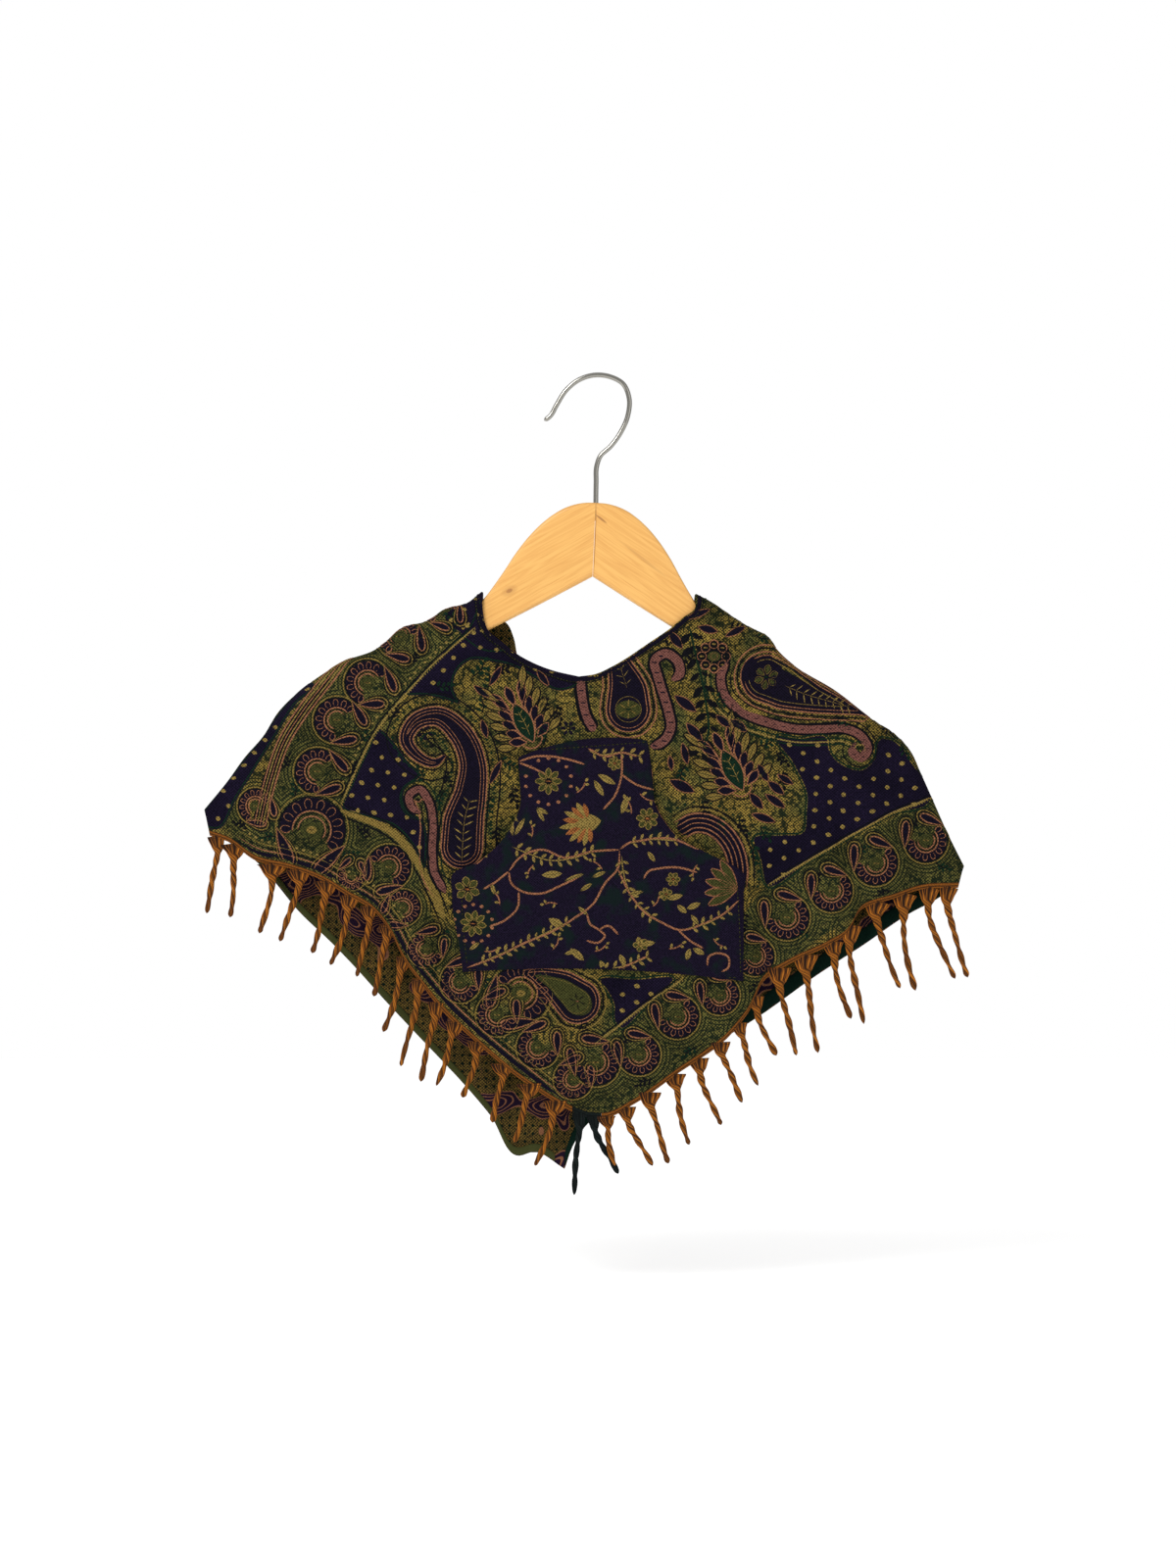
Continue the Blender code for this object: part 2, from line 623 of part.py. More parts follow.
def build_hook(material):
    """A bent wire: a smooth curve with a round bevel and filled ends."""
    route = smooth_path(HOOK_ROUTE, np.linspace(0, 1, HOOK_POINTS))
    curve = bpy.data.curves.new("hanger_hook", "CURVE")
    curve.dimensions = "3D"
    curve.bevel_depth = WIRE / 2 * MM
    curve.bevel_resolution = 2
    curve.use_fill_caps = True
    spline = curve.splines.new("POLY")
    spline.points.add(len(route) - 1)
    for point, (across, up) in zip(spline.points, route):
        point.co = (across * MM, 0.0, up * MM, 1.0)
    curve.materials.append(material)
    obj = bpy.data.objects.new("hanger_hook", curve)
    bpy.context.scene.collection.objects.link(obj)
    return obj


def shank_cutter():
    """A hidden cylinder that bores the shank's seat across the mitre joint."""
    radius = (WIRE / 2 + SHANK_CLEARANCE) * MM
    depth = 2 * (SHANK_IN_WOOD + SHANK_CLEARANCE) * MM
    bpy.ops.mesh.primitive_cylinder_add(vertices=16, radius=radius, depth=depth)
    cutter = bpy.context.active_object
    cutter.name = "shank_cutter"
    cutter.location = (HOOK_ROUTE[1][0] * MM, 0.0, HANGER_TOP[1] * MM)
    cutter.hide_render = True
    cutter.display_type = "WIRE"
    return cutter


def build_arm(name, hand, cutter, material):
    """Half of the hanger: an outline cut from a board, with rounded edges.

    hand is -1 for the left arm and +1 for the right one. The arm's mesh is in the
    hanger's upright frame, and the object is tilted to where the hanger hangs.
    """
    top = np.array(ARM_TOP, float)
    top[0, 0] = MITRE_GAP / 2
    bottom = np.array(ARM_BOTTOM, float)
    bottom[-1, 0] = MITRE_GAP / 2
    outline = np.concatenate([top, np.array(ARM_END, float), bottom])
    outline[:, 0] *= hand
    if hand < 0:
        outline = outline[::-1]
    count = len(outline)
    half = ARM_THICKNESS / 2
    points = [(x, -half, z) for x, z in outline] + [(x, half, z) for x, z in outline]
    faces = [tuple(range(count))[::-1], tuple(range(count, 2 * count))]
    for i in range(count):
        n = (i + 1) % count
        faces.append((i, n, n + count, i + count))
    arm = add_mesh(name, points, faces, material)
    arm.location = (HANGER_TOP[0] * MM, 0.0, HANGER_TOP[1] * MM)
    arm.rotation_euler = (0.0, -HANGER_TILT, 0.0)
    edges = arm.modifiers.new("rounded edges", "BEVEL")
    edges.width = ARM_EDGE_RADIUS * MM
    edges.segments = 2
    edges.limit_method = "ANGLE"
    edges.angle_limit = ARM_SHARP_EDGE
    seat = arm.modifiers.new("shank seat", "BOOLEAN")
    seat.operation = "DIFFERENCE"
    seat.solver = "EXACT"
    seat.object = cutter
    return arm


# ---- assembly ------------------------------------------------------------------------

def main():
    clear_scene()
    patterned = finish("patterned cloth", (0.085, 0.066, 0.075), 0.9)
    dark = finish("dark vine cloth", (0.030, 0.020, 0.065), 0.9)
    orange = finish("orange fringe", (0.52, 0.21, 0.025), 0.85)
    black = finish("dark tassels", (0.012, 0.022, 0.018), 0.85)
    olive = finish("olive turned hem", (0.10, 0.10, 0.022), 0.9)
    green = finish("dark green tape", (0.006, 0.032, 0.020), 0.85)
    pine = finish("pine", (0.79, 0.49, 0.21), 0.45)
    chrome = finish("chromed wire", (0.72, 0.72, 0.73), 0.18, 1.0)

    cutter = shank_cutter()
    build_arm("hanger_arm_left", -1, cutter, pine)
    build_arm("hanger_arm_right", 1, cutter, pine)
    build_hook(chrome)

    front = build_panel(FRONT, patterned)
    build_panel(BACK, patterned)
    build_pouch(front, dark)

    hem_tip = SHOULDER_COLUMNS + NECK_COLUMNS
    last_column = 2 * hem_tip
    build_band("back_hem_band_left", BACK, 1, hem_tip - 1, LEFT_BAND_WIDTH, olive)
    build_band("back_hem_band_right", BACK, hem_tip, last_column - 1, RIGHT_BAND_WIDTH, green)

    left_end = FRONT_HEM_LEFT[0][0]
    right_end = FRONT_HEM_RIGHT[-1][0]
    build_fringe("fringe_left", FRONT, (left_end, TIP_TAB[0] - SEAM_GAP), LEFT_TASSELS, orange)
    build_fringe("fringe_tip", FRONT, TIP_TAB, TIP_TASSELS, black)
    build_fringe("fringe_right", FRONT, (TIP_TAB[1] + SEAM_GAP, right_end), RIGHT_TASSELS, orange)


main()
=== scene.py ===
"""Looks of a short fringed poncho with a pouch pocket, hanging on a mitred wooden hanger.

Tables are in millimetres, as the garment hangs: "across" is along X and "up" is along Z,
measured from the underside of the hook's top bend. The front of the garment faces -Y.
"""

import logging
import math
from dataclasses import dataclass
from enum import Enum
from typing import NamedTuple, Optional, Sequence

import bpy
import numpy as np
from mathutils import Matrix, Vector


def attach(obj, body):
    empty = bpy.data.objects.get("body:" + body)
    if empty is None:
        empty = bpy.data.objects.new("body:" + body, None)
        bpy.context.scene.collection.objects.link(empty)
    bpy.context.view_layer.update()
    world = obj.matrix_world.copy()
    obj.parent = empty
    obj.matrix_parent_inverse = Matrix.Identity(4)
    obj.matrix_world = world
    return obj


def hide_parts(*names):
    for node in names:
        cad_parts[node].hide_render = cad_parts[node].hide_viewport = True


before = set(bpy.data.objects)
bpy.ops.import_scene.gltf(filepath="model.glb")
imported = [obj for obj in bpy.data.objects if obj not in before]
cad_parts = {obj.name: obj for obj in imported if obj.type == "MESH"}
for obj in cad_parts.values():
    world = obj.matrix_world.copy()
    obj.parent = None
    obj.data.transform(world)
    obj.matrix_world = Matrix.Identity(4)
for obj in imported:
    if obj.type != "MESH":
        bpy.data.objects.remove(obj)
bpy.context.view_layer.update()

log = logging.getLogger("poncho")

Array = np.ndarray
Colour = tuple[float, float, float]

MM = 0.001
BODY = "root"

# ---- sizes that the whole garment shares, millimetres --------------------------------

CLOTH = 1.5             # wall of the woven cloth
SHOULDER_DEPTH = 8.0    # from the hanger's middle plane to the cloth that lies on its arms
SHOULDER_DROP = 8.0     # height over which the cloth rounds from the fold to the vertical
SHOULDER_ROUND = 0.8    # power of the rounding: under 1 is squarer than an ellipse
CORNER_DEPTH = 2.6      # the same distance at the two side corners
CORNER_REACH = 66.0     # how far in from a side corner the cloth reaches its full depth
FOLD_FADE_IN = 0.30
FOLD_FADE_OUT = 0.25
FOLD_AT_CORNER = 0.35
TROUGH_LIMIT = 0.4
NECK_CROWDING = 1.5
SHOULDER_COLUMNS = 16
NECK_COLUMNS = 10

LEFT_SHOULDER = (
    (-296, -331), (-278, -309), (-265, -291), (-251, -275), (-239, -256), (-222, -239.5),
    (-204, -226.5), (-190, -218), (-165, -208.5), (-156, -202), (-147, -193.5), (-124, -186),
    (-113, -178.5), (-95, -173), (-84, -164.5),
)
RIGHT_SHOULDER = (
    (79.5, -166.2), (93, -173.5), (105, -182), (121, -192), (134, -198.5), (142, -210),
    (154, -221), (185, -240), (216, -263.5), (232, -274), (243, -286), (251, -303), (259.5, -322),
    (272, -350), (284, -374),
)
FRONT_NECK_LEFT = (
    (-84, -164.5), (-83.5, -178), (-79, -194), (-68, -203), (-59, -210.5), (-45, -218.5),
    (-31, -224), (-10, -229),
)
FRONT_NECK_RIGHT = (
    (-10, -229), (3, -227), (16, -221), (44, -203), (62, -190.5), (69, -184.5), (78.5, -177),
    (79.5, -166.2),
)
BACK_NECK_LEFT = (
    (-84, -164.5), (-83.5, -175), (-75, -182), (-65, -188), (-60, -199), (-57, -213), (-40, -233),
    (-5, -245),
)
BACK_NECK_RIGHT = (
    (-5, -245), (30, -236), (52, -217), (66, -198), (78, -178), (79.5, -166.2),
)
FRONT_HEM_LEFT = (
    (-293, -346), (-278, -351), (-257, -365), (-231, -371), (-208, -379), (-186, -392),
    (-167, -403), (-153, -420), (-143, -440), (-131, -457), (-115, -478), (-93, -499), (-48, -536),
    (-11, -558), (-3, -561),
)
FRONT_HEM_RIGHT = (
    (-3, -561), (11, -561), (31, -551), (64, -528), (102, -501), (118, -482), (132, -456),
    (152, -443), (178, -431), (194, -421), (205, -404), (232, -394), (250, -388), (281, -386),
)
BACK_HEM_LEFT = (
    (-293, -346), (-276, -357), (-259, -369), (-244, -386), (-228, -406), (-196, -437),
    (-154, -483), (-139, -499), (-100, -540), (-78, -566), (-56, -597), (-45, -594), (-21, -607),
)
BACK_HEM_RIGHT = (
    (-21, -607), (-15, -590), (-4, -573), (20, -557), (50, -538), (87, -515), (128, -490),
    (173, -458), (205, -437), (244, -410), (266, -398), (281, -386),
)


class Fold(NamedTuple):
    """A soft ridge (proud above 0) or trough from 1 to 2 that bows sideways."""

    across_1: float
    up_1: float
    across_2: float
    up_2: float
    bow: float
    width: float
    proud: float


FRONT_FOLDS = (
    Fold(-160, -372, -124, -470, 4, 11, 6.0),       # roll over the left hem
    Fold(-178, -398, -140, -478, 2, 8, -6.0),       # hem tucked under beside that roll
    Fold(-119, -386, -105, -490, 0, 8, -4.0),       # trough left of the pouch
    Fold(128, -380, 130, -480, 0, 8, -4.5),         # trough right of the pouch
    Fold(-204, -246, -226, -386, 6, 24, 4.0),       # falls from the end of the left arm
    Fold(-168, -232, -190, -404, -5, 15, -3.0),
    Fold(-128, -200, -146, -330, 5, 16, 3.0),
    Fold(-252, -290, -262, -372, 0, 13, -2.5),
    Fold(-150, -203, -158, -226, 0, 6, 3.0),        # gathers on the left shoulder
    Fold(-131, -194, -136, -214, 0, 5, 2.5),
    Fold(-115, -187, -119, -206, 0, 4.5, 2.2),
    Fold(-100, -180, -102, -201, 0, 4.5, 2.4),
    Fold(98, -190, 136, -214, -3, 10, 5.0),         # puff on the right shoulder
    Fold(148, -224, 112, -250, 4, 8, -2.5),
    Fold(190, -256, 236, -400, -8, 22, 4.5),        # falls from the end of the right arm
    Fold(176, -282, 207, -426, 4, 9, -4.5),         # pleat that steps the right hem
    Fold(162, -290, 192, -436, 3, 9, 3.0),
    Fold(250, -330, 262, -404, 0, 11, -2.5),
    Fold(-64, -470, -44, -560, -4, 15, 3.0),        # soft folds below the pouch
    Fold(-24, -466, -4, -580, 3, 11, -3.0),
    Fold(52, -474, 40, -566, 3, 17, 3.0),
    Fold(84, -480, 88, -530, 0, 9, -2.0),
)
BACK_FOLDS = (
    Fold(-200, -250, -236, -420, -6, 22, 4.5),
    Fold(-160, -240, -196, -470, 6, 15, -4.0),
    Fold(-118, -230, -146, -520, 6, 18, 4.5),
    Fold(-84, -270, -104, -560, -4, 14, -3.5),
    Fold(-50, -280, -62, -610, 3, 18, 4.0),
    Fold(-10, -290, -16, -620, -3, 13, -3.5),
    Fold(40, -280, 44, -560, 4, 20, 4.0),
    Fold(84, -240, 100, -530, -5, 14, -4.0),
    Fold(124, -232, 150, -500, 5, 18, 4.5),
    Fold(168, -260, 200, -460, -3, 13, -3.5),
    Fold(206, -280, 244, -430, -5, 18, 3.5),
    Fold(-142, -205, -148, -228, 0, 6, 2.6),
    Fold(-112, -190, -117, -212, 0, 5, 2.4),
    Fold(104, -194, 138, -216, -3, 9, 3.5),
)


# ---- curves and grids ----------------------------------------------------------------

def ease(share: Array) -> Array:
    """0 to 1 with level ends: 3 s squared less 2 s cubed."""
    share = np.clip(share, 0.0, 1.0)
    return share * share * (3.0 - 2.0 * share)


def unit(vectors: Array) -> Array:
    """Vectors made one long."""
    return vectors / np.maximum(np.linalg.norm(vectors, axis=-1, keepdims=True), 1e-12)


def run_along(points: Sequence) -> Array:
    """Length from the first point of a broken line to each of its points."""
    steps = np.linalg.norm(np.diff(np.asarray(points, float), axis=0), axis=1)
    return np.concatenate([[0.0], np.cumsum(steps)])


def cubic(points: Array, slopes: Array, index: Array, s: Array, span: Array | float) -> Array:
    """Points at shares s of the spans that begin at the given indices, on a smooth curve."""
    return (
        points[index] * (2 * s**3 - 3 * s**2 + 1)
        + slopes[index] * span * (s**3 - 2 * s**2 + s)
        + points[index + 1] * (3 * s**2 - 2 * s**3)
        + slopes[index + 1] * span * (s**3 - s**2)
    )


def smooth_path(points: Sequence, shares: Array) -> Array:
    """Points at shares of the length of a smooth curve through the given points.

    The curve is a cubic between each pair of points, with slopes from central differences.

    Args:
        points: rows of coordinates.
        shares: places along the curve, 0 to 1.

    Returns:
        One row of coordinates for each share.
    """
    points = np.asarray(points, float)
    knots = run_along(points)
    slopes = np.gradient(points, knots, axis=0)
    places = np.asarray(shares, float) * knots[-1]
    index = np.clip(np.searchsorted(knots, places, side="right") - 1, 0, len(points) - 2)
    span = np.diff(knots)[index][:, None]
    return cubic(points, slopes, index, (places - knots[index])[:, None] / span, span)


def relief(folds: Sequence[Fold], across: Array, up: Array) -> Array:
    """How far the folds push the cloth out at each place: a soft bell across each fold."""
    total = np.zeros_like(across)
    for fold in folds:
        run = math.hypot(fold.across_2 - fold.across_1, fold.up_2 - fold.up_1)
        way = ((fold.across_2 - fold.across_1) / run, (fold.up_2 - fold.up_1) / run)
        along = ((across - fold.across_1) * way[0] + (up - fold.up_1) * way[1]) / run
        inside = np.clip(along, 0.0, 1.0)
        off = (up - fold.up_1) * way[0] - (across - fold.across_1) * way[1]
        off = off - fold.bow * 4 * inside * (1 - inside)
        fade = ease(along / FOLD_FADE_IN) * ease((1.0 - along) / FOLD_FADE_OUT)
        total += fold.proud * np.exp(-((off / fold.width) ** 2)) * fade
    return total


def surface_normals(points: Array, side: int) -> Array:
    """Unit normals of a grid of points that face towards side along Y."""
    along = np.gradient(points, axis=1)
    down = np.gradient(points, axis=0)
    normals = unit(np.cross(along, down))
    return normals * np.sign(np.sum(normals[..., 1]) * side)


def tube_faces(rings: int, around: int, flip: bool = False) -> list[tuple]:
    """Faces of a closed tube: rings of points joined all round, with a lid on each end."""
    faces = [tuple(face) for face in grid_faces(rings, around, around=True).tolist()]
    last = range((rings - 1) * around, rings * around)
    faces += [tuple(range(around)), tuple(last)[::-1]]
    return [face[::-1] for face in faces] if flip else faces


def grid_faces(rows: int, columns: int, start: int = 0, around: bool = False) -> Array:
    """Quads of a grid of points numbered row by row.

    Args:
        rows: rows of points.
        columns: points in a row.
        start: number of the first point.
        around: True where the last column joins the first.
    """
    number = start + np.arange(rows * columns).reshape(rows, columns)
    if around:
        number = np.concatenate([number, number[:, :1]], axis=1)
    return np.stack(
        [number[:-1, :-1], number[1:, :-1], number[1:, 1:], number[:-1, 1:]], axis=-1
    ).reshape(-1, 4)


class Piece:
    """Collects points, faces and point attributes and makes one mesh object of them."""

    def __init__(self, name: str) -> None:
        self.name = name
        self.points: list[Array] = []
        self.faces: list = []
        self.count = 0
        self.values: dict[str, list[Array]] = {}

    def add(self, points: Array, faces: Sequence, **values: Array) -> None:
        """Add points in millimetres, faces numbered from 0, and attributes for the points."""
        points = np.asarray(points, float).reshape(-1, 3)
        first = self.count
        self.points.append(points)
        if isinstance(faces, np.ndarray):
            self.faces.extend((faces + first).tolist())
        else:
            self.faces.extend([tuple(i + first for i in face) for face in faces])
        for key, value in values.items():
            self.values.setdefault(key, []).append(np.asarray(value, float))
        self.count += len(points)

    def build(self, material: bpy.types.Material, smooth: float = 60.0) -> bpy.types.Object:
        """Make the object, at the origin with its place in its mesh.

        Args:
            material: the piece's finish.
            smooth: edges that bend more than this many degrees stay sharp.
        """
        mesh = bpy.data.meshes.new(self.name)
        mesh.from_pydata(np.concatenate(self.points) * MM, [], self.faces)
        for key, parts in self.values.items():
            data = np.concatenate(parts)
            kind = "FLOAT_VECTOR" if data.ndim == 2 else "FLOAT"
            layer = mesh.attributes.new(key, kind, "POINT")
            layer.data.foreach_set("vector" if data.ndim == 2 else "value", data.ravel())
        mesh.materials.append(material)
        mesh.update()
        mesh.shade_smooth()
        mesh.set_sharp_from_angle(angle=math.radians(smooth))
        obj = bpy.data.objects.new(self.name, mesh)
        bpy.context.scene.collection.objects.link(obj)
        return obj


def wear(obj: bpy.types.Object, slot: str, *nodes: str) -> bpy.types.Object:
    """Let a finished piece ride on the body and stand for its nodes."""
    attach(obj, BODY)
    if nodes:
        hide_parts(*nodes)
    return obj


# ---- panels of the garment -----------------------------------------------------------

@dataclass(frozen=True)
class Panel:
    """Front or back: a fan of lines from the shoulders and the neck to the hem.

    Each half has a shoulder stretch and a neck stretch, and the shoulder stretch takes
    the named share of the hem's length.
    """

    name: str
    side: int
    neck_left: tuple
    neck_right: tuple
    hem_left: tuple
    hem_right: tuple
    share_left: float
    share_right: float
    belly: float
    hem_belly: float
    folds: tuple

    def fan(self, fine: int) -> tuple[Array, Array, Array]:
        """Top end and hem end of each line, and the run down the neck edge.

        Args:
            fine: lines for each of the fan's main steps.
        """
        outer = np.linspace(0, 1, SHOULDER_COLUMNS * fine + 1)
        inner = np.linspace(0, 1, NECK_COLUMNS * fine + 1)[1:]
        crowded = inner**NECK_CROWDING
        tops = np.concatenate([
            smooth_path(LEFT_SHOULDER, outer),
            smooth_path(self.neck_left, crowded),
            smooth_path(self.neck_right, np.append(1 - crowded[-2::-1], 1.0)),
            smooth_path(RIGHT_SHOULDER, outer[1:]),
        ])
        left = np.concatenate([
            self.share_left * outer, self.share_left + (1 - self.share_left) * inner,
        ])
        right = 1 - np.concatenate([
            self.share_right * outer, self.share_right + (1 - self.share_right) * inner,
        ])[::-1]
        hems = np.concatenate([
            smooth_path(self.hem_left, left), smooth_path(self.hem_right, right[1:]),
        ])
        run = np.zeros(len(tops))
        first = SHOULDER_COLUMNS * fine
        last = first + 2 * NECK_COLUMNS * fine
        down = run_along(tops[first:last + 1])
        run[first:last + 1] = np.minimum(down, down[-1] - down)
        return tops, hems, run

    def surface(self, fine: int, rounding: int, hanging: int) -> tuple[Array, Array, Array]:
        """Middle surface, outward normals and the pattern's own coordinates.

        Depth = base + swell of the middle and of the hem + relief of the folds, and round
        the shoulder it grows from nothing as a squared-off quarter ellipse.

        Args:
            fine: lines for each of the fan's main steps.
            rounding: rows round the shoulder fold.
            hanging: rows from there to the hem.

        Returns:
            Points, normals and (across, up, side) of the flat cloth, as three grids.
        """
        tops, hems, run = self.fan(fine)
        length = np.linalg.norm(hems - tops, axis=1)
        drop = np.minimum(SHOULDER_DROP, 0.4 * length)
        angles = np.linspace(0, math.pi / 2, rounding)
        below = np.linspace(0, 1, hanging + 1)[1:]
        down = np.concatenate([
            drop * (1 - np.cos(angles) ** SHOULDER_ROUND)[:, None],
            drop + (length - drop) * below[:, None],
        ])
        out = np.concatenate([np.sin(angles) ** SHOULDER_ROUND, np.ones(hanging)])[:, None]
        share = down / length
        across = tops[:, 0] + (hems[:, 0] - tops[:, 0]) * share
        up = tops[:, 1] + (hems[:, 1] - tops[:, 1]) * share
        from_corner = np.minimum(tops[:, 0] - tops[0, 0], tops[-1, 0] - tops[:, 0])
        full = ease(from_corner / CORNER_REACH)
        base = CORNER_DEPTH + (SHOULDER_DEPTH - CORNER_DEPTH) * full
        turned = np.clip(run / SHOULDER_DROP, 0.0, 1.0)
        edge = base * np.sin(np.arccos(1 - turned)) ** SHOULDER_ROUND
        depth = base + full * (4 * share * (1 - share) * self.belly + share**2 * self.hem_belly)
        folded = FOLD_AT_CORNER + (1 - FOLD_AT_CORNER) * full
        depth = depth + folded * relief(self.folds, across, up)
        depth = np.maximum(depth, base - TROUGH_LIMIT)
        away = edge + (depth - edge) * out
        points = np.stack([across, self.side * away, up], axis=-1)
        normals = surface_normals(points, self.side)
        on_seam = run == 0
        normals[0, on_seam, 1] = 0.0
        normals[0, on_seam] = unit(normals[0, on_seam])
        rolled = up + np.maximum(depth - away, 0.0) * (1 - out)
        cloth = np.stack([across, rolled, np.full_like(up, self.side)], axis=-1)
        return points, normals, cloth


FRONT = Panel(
    "front_cloth", -1, FRONT_NECK_LEFT, FRONT_NECK_RIGHT, FRONT_HEM_LEFT, FRONT_HEM_RIGHT,
    0.60, 0.64, 8.0, 4.0, FRONT_FOLDS,
)
BACK = Panel(
    "back_cloth", 1, BACK_NECK_LEFT, BACK_NECK_RIGHT, BACK_HEM_LEFT, BACK_HEM_RIGHT,
    0.54, 0.64, 8.0, 6.0, BACK_FOLDS,
)


def add_wall(
    piece: Piece, outer: Array, inner: Array, side: int, skip: tuple[int, int],
    **values: Array,
) -> None:
    """Add a closed wall: a fine outer grid, a coarser inner one and the rim between them.

    Args:
        piece: takes the wall.
        outer: grid of points on the outer face.
        inner: grid of the same shape on the inner face, of which only some are kept.
        side: -1 or 1, the way along Y that the outer face looks.
        skip: rows and columns of the outer grid for each one of the inner grid.
        values: attributes as grids of the outer grid's shape.
    """
    rows, columns = outer.shape[:2]
    kept_rows = np.append(np.arange(0, rows - 1, skip[0]), rows - 1)
    kept_columns = np.append(np.arange(0, columns - 1, skip[1]), columns - 1)
    chosen = np.ix_(kept_rows, kept_columns)
    near = inner[chosen]
    start = rows * columns
    faces = grid_faces(rows, columns)
    back = grid_faces(len(kept_rows), len(kept_columns), start)[:, ::-1]
    number = np.arange(start).reshape(rows, columns)
    small = start + np.arange(near.shape[0] * near.shape[1]).reshape(near.shape[:2])
    rim = []
    for line, low, kept in (
        (number[0], small[0], kept_columns),
        (number[:, -1], small[:, -1], kept_rows),
        (number[-1, ::-1], small[-1, ::-1], columns - 1 - kept_columns[::-1]),
        (number[::-1, 0], small[::-1, 0], rows - 1 - kept_rows[::-1]),
    ):
        for k in range(len(kept) - 1):
            rim.append((*line[kept[k]:kept[k + 1] + 1], low[k + 1], low[k]))
    shapes = [tuple(f) for f in np.concatenate([faces, back]).tolist()] + rim
    if side > 0:
        shapes = [face[::-1] for face in shapes]
    layers = {}
    for key, value in values.items():
        width = value.shape[2:]
        layers[key] = np.concatenate([
            value.reshape(-1, *width), value[chosen].reshape(-1, *width),
        ])
    inside = np.concatenate([np.zeros(start), np.ones(near.shape[0] * near.shape[1])])
    points = np.concatenate([outer.reshape(-1, 3), near.reshape(-1, 3)])
    piece.add(points, shapes, reverse=inside, **layers)


# ---- woven figures -------------------------------------------------------------------

class Tint(Enum):
    """Colours of the figure threads."""

    PINK = (0.270, 0.112, 0.054)
    ROSE = (0.150, 0.058, 0.046)
    GOLD = (0.190, 0.128, 0.030)
    STRAW = (0.235, 0.162, 0.042)
    OLIVE = (0.044, 0.046, 0.012)
    GREEN = (0.004, 0.018, 0.009)
    NAVY = (0.0052, 0.0034, 0.0110)
    DARK = (0.0035, 0.0035, 0.0055)
    RUST = (0.260, 0.090, 0.026)


PINK, ROSE, GOLD, STRAW, OLIVE, GREEN, NAVY, DARK, RUST = Tint


class ClothMap:
    """The outer face of a cloth, read at any place of its flat pattern."""

    def __init__(self, cloth: Array, outer: Array, normals: Array) -> None:
        flat_across, flat_up = cloth[..., 0], cloth[..., 1]
        self.start = np.floor([flat_across.min(), flat_up.min()]) - 2.0
        places = np.arange(self.start[0], flat_across.max() + 3.0)
        levels = np.arange(self.start[1], flat_up.max() + 3.0)
        layers = [flat_across, *np.moveaxis(outer, -1, 0), *np.moveaxis(normals, -1, 0)]
        lines = range(cloth.shape[1])
        at_level = [
            np.stack([np.interp(-levels, -flat_up[:, j], layer[:, j]) for j in lines], axis=1)
            for layer in layers
        ]
        room = np.minimum(flat_up[0] - levels[:, None], levels[:, None] - flat_up[-1])
        self.table = np.stack([
            np.stack([np.interp(places, *pair) for pair in zip(at_level[0], layer)])
            for layer in (*at_level[1:], room)
        ], axis=-1)

    def read(self, places: Array) -> tuple[Array, Array, Array]:
        """Read between the four nearest whole millimetres.

        Args:
            places: (across, up) on the flat pattern.

        Returns:
            Points on the face, unit normals, and the room to the cloth's upper or lower
            edge, which is below 0 off the cloth.
        """
        local = places - self.start
        z = np.clip(local[..., 1], 0, self.table.shape[0] - 1.001)
        x = np.clip(local[..., 0], 0, self.table.shape[1] - 1.001)
        i, j = z.astype(int), x.astype(int)
        s, t = (z - i)[..., None], (x - j)[..., None]
        low = self.table[i, j] * (1 - t) + self.table[i, j + 1] * t
        high = self.table[i + 1, j] * (1 - t) + self.table[i + 1, j + 1] * t
        found = low * (1 - s) + high * s
        return found[..., :3], unit(found[..., 3:6]), found[..., 6]


@dataclass(frozen=True)
class Spot:
    """A place, a heading in degrees and a size for a figure."""

    across: float
    up: float
    heading: float
    size: float = 1.0

    def at(self, local: Sequence) -> Array:
        """Places on the cloth of local (right, ahead) rows."""
        local = np.asarray(local, float) * self.size
        turn = math.radians(self.heading)
        way = np.array([math.cos(turn), math.sin(turn)])
        right = np.array([way[1], -way[0]])
        return np.array([self.across, self.up]) + local[..., :1] * right + local[..., 1:] * way


def spots(*rows: Sequence) -> tuple[Spot, ...]:
    """Spots from rows of across, up, heading and size."""
    return tuple(Spot(*row) for row in rows)


def sides(axis: Array) -> Array:
    """Unit vectors to the left of each point of a flat line."""
    way = unit(np.gradient(axis, axis=0))
    return np.stack([-way[:, 1], way[:, 0]], axis=-1)


# growth of the outline, width of the line or None for a filled shape, tint, lift
DROP_LAYERS = (
    (0.0, None, NAVY, 0.30), (0.0, 1.15, PINK, 0.46), (1.6, 1.3, DARK, 0.30),
    (2.7, 1.0, GOLD, 0.40), (3.9, 1.0, DARK, 0.28),
)


# head and tip of the two drops that stand below a palmette of size 1, and their radius
PALMETTE_DROPS = (
    ((0.66, -1.12), (1.2, -0.1), 0.22),
    ((-0.4, -1.14), (-1.12, -0.34), 0.22),
)


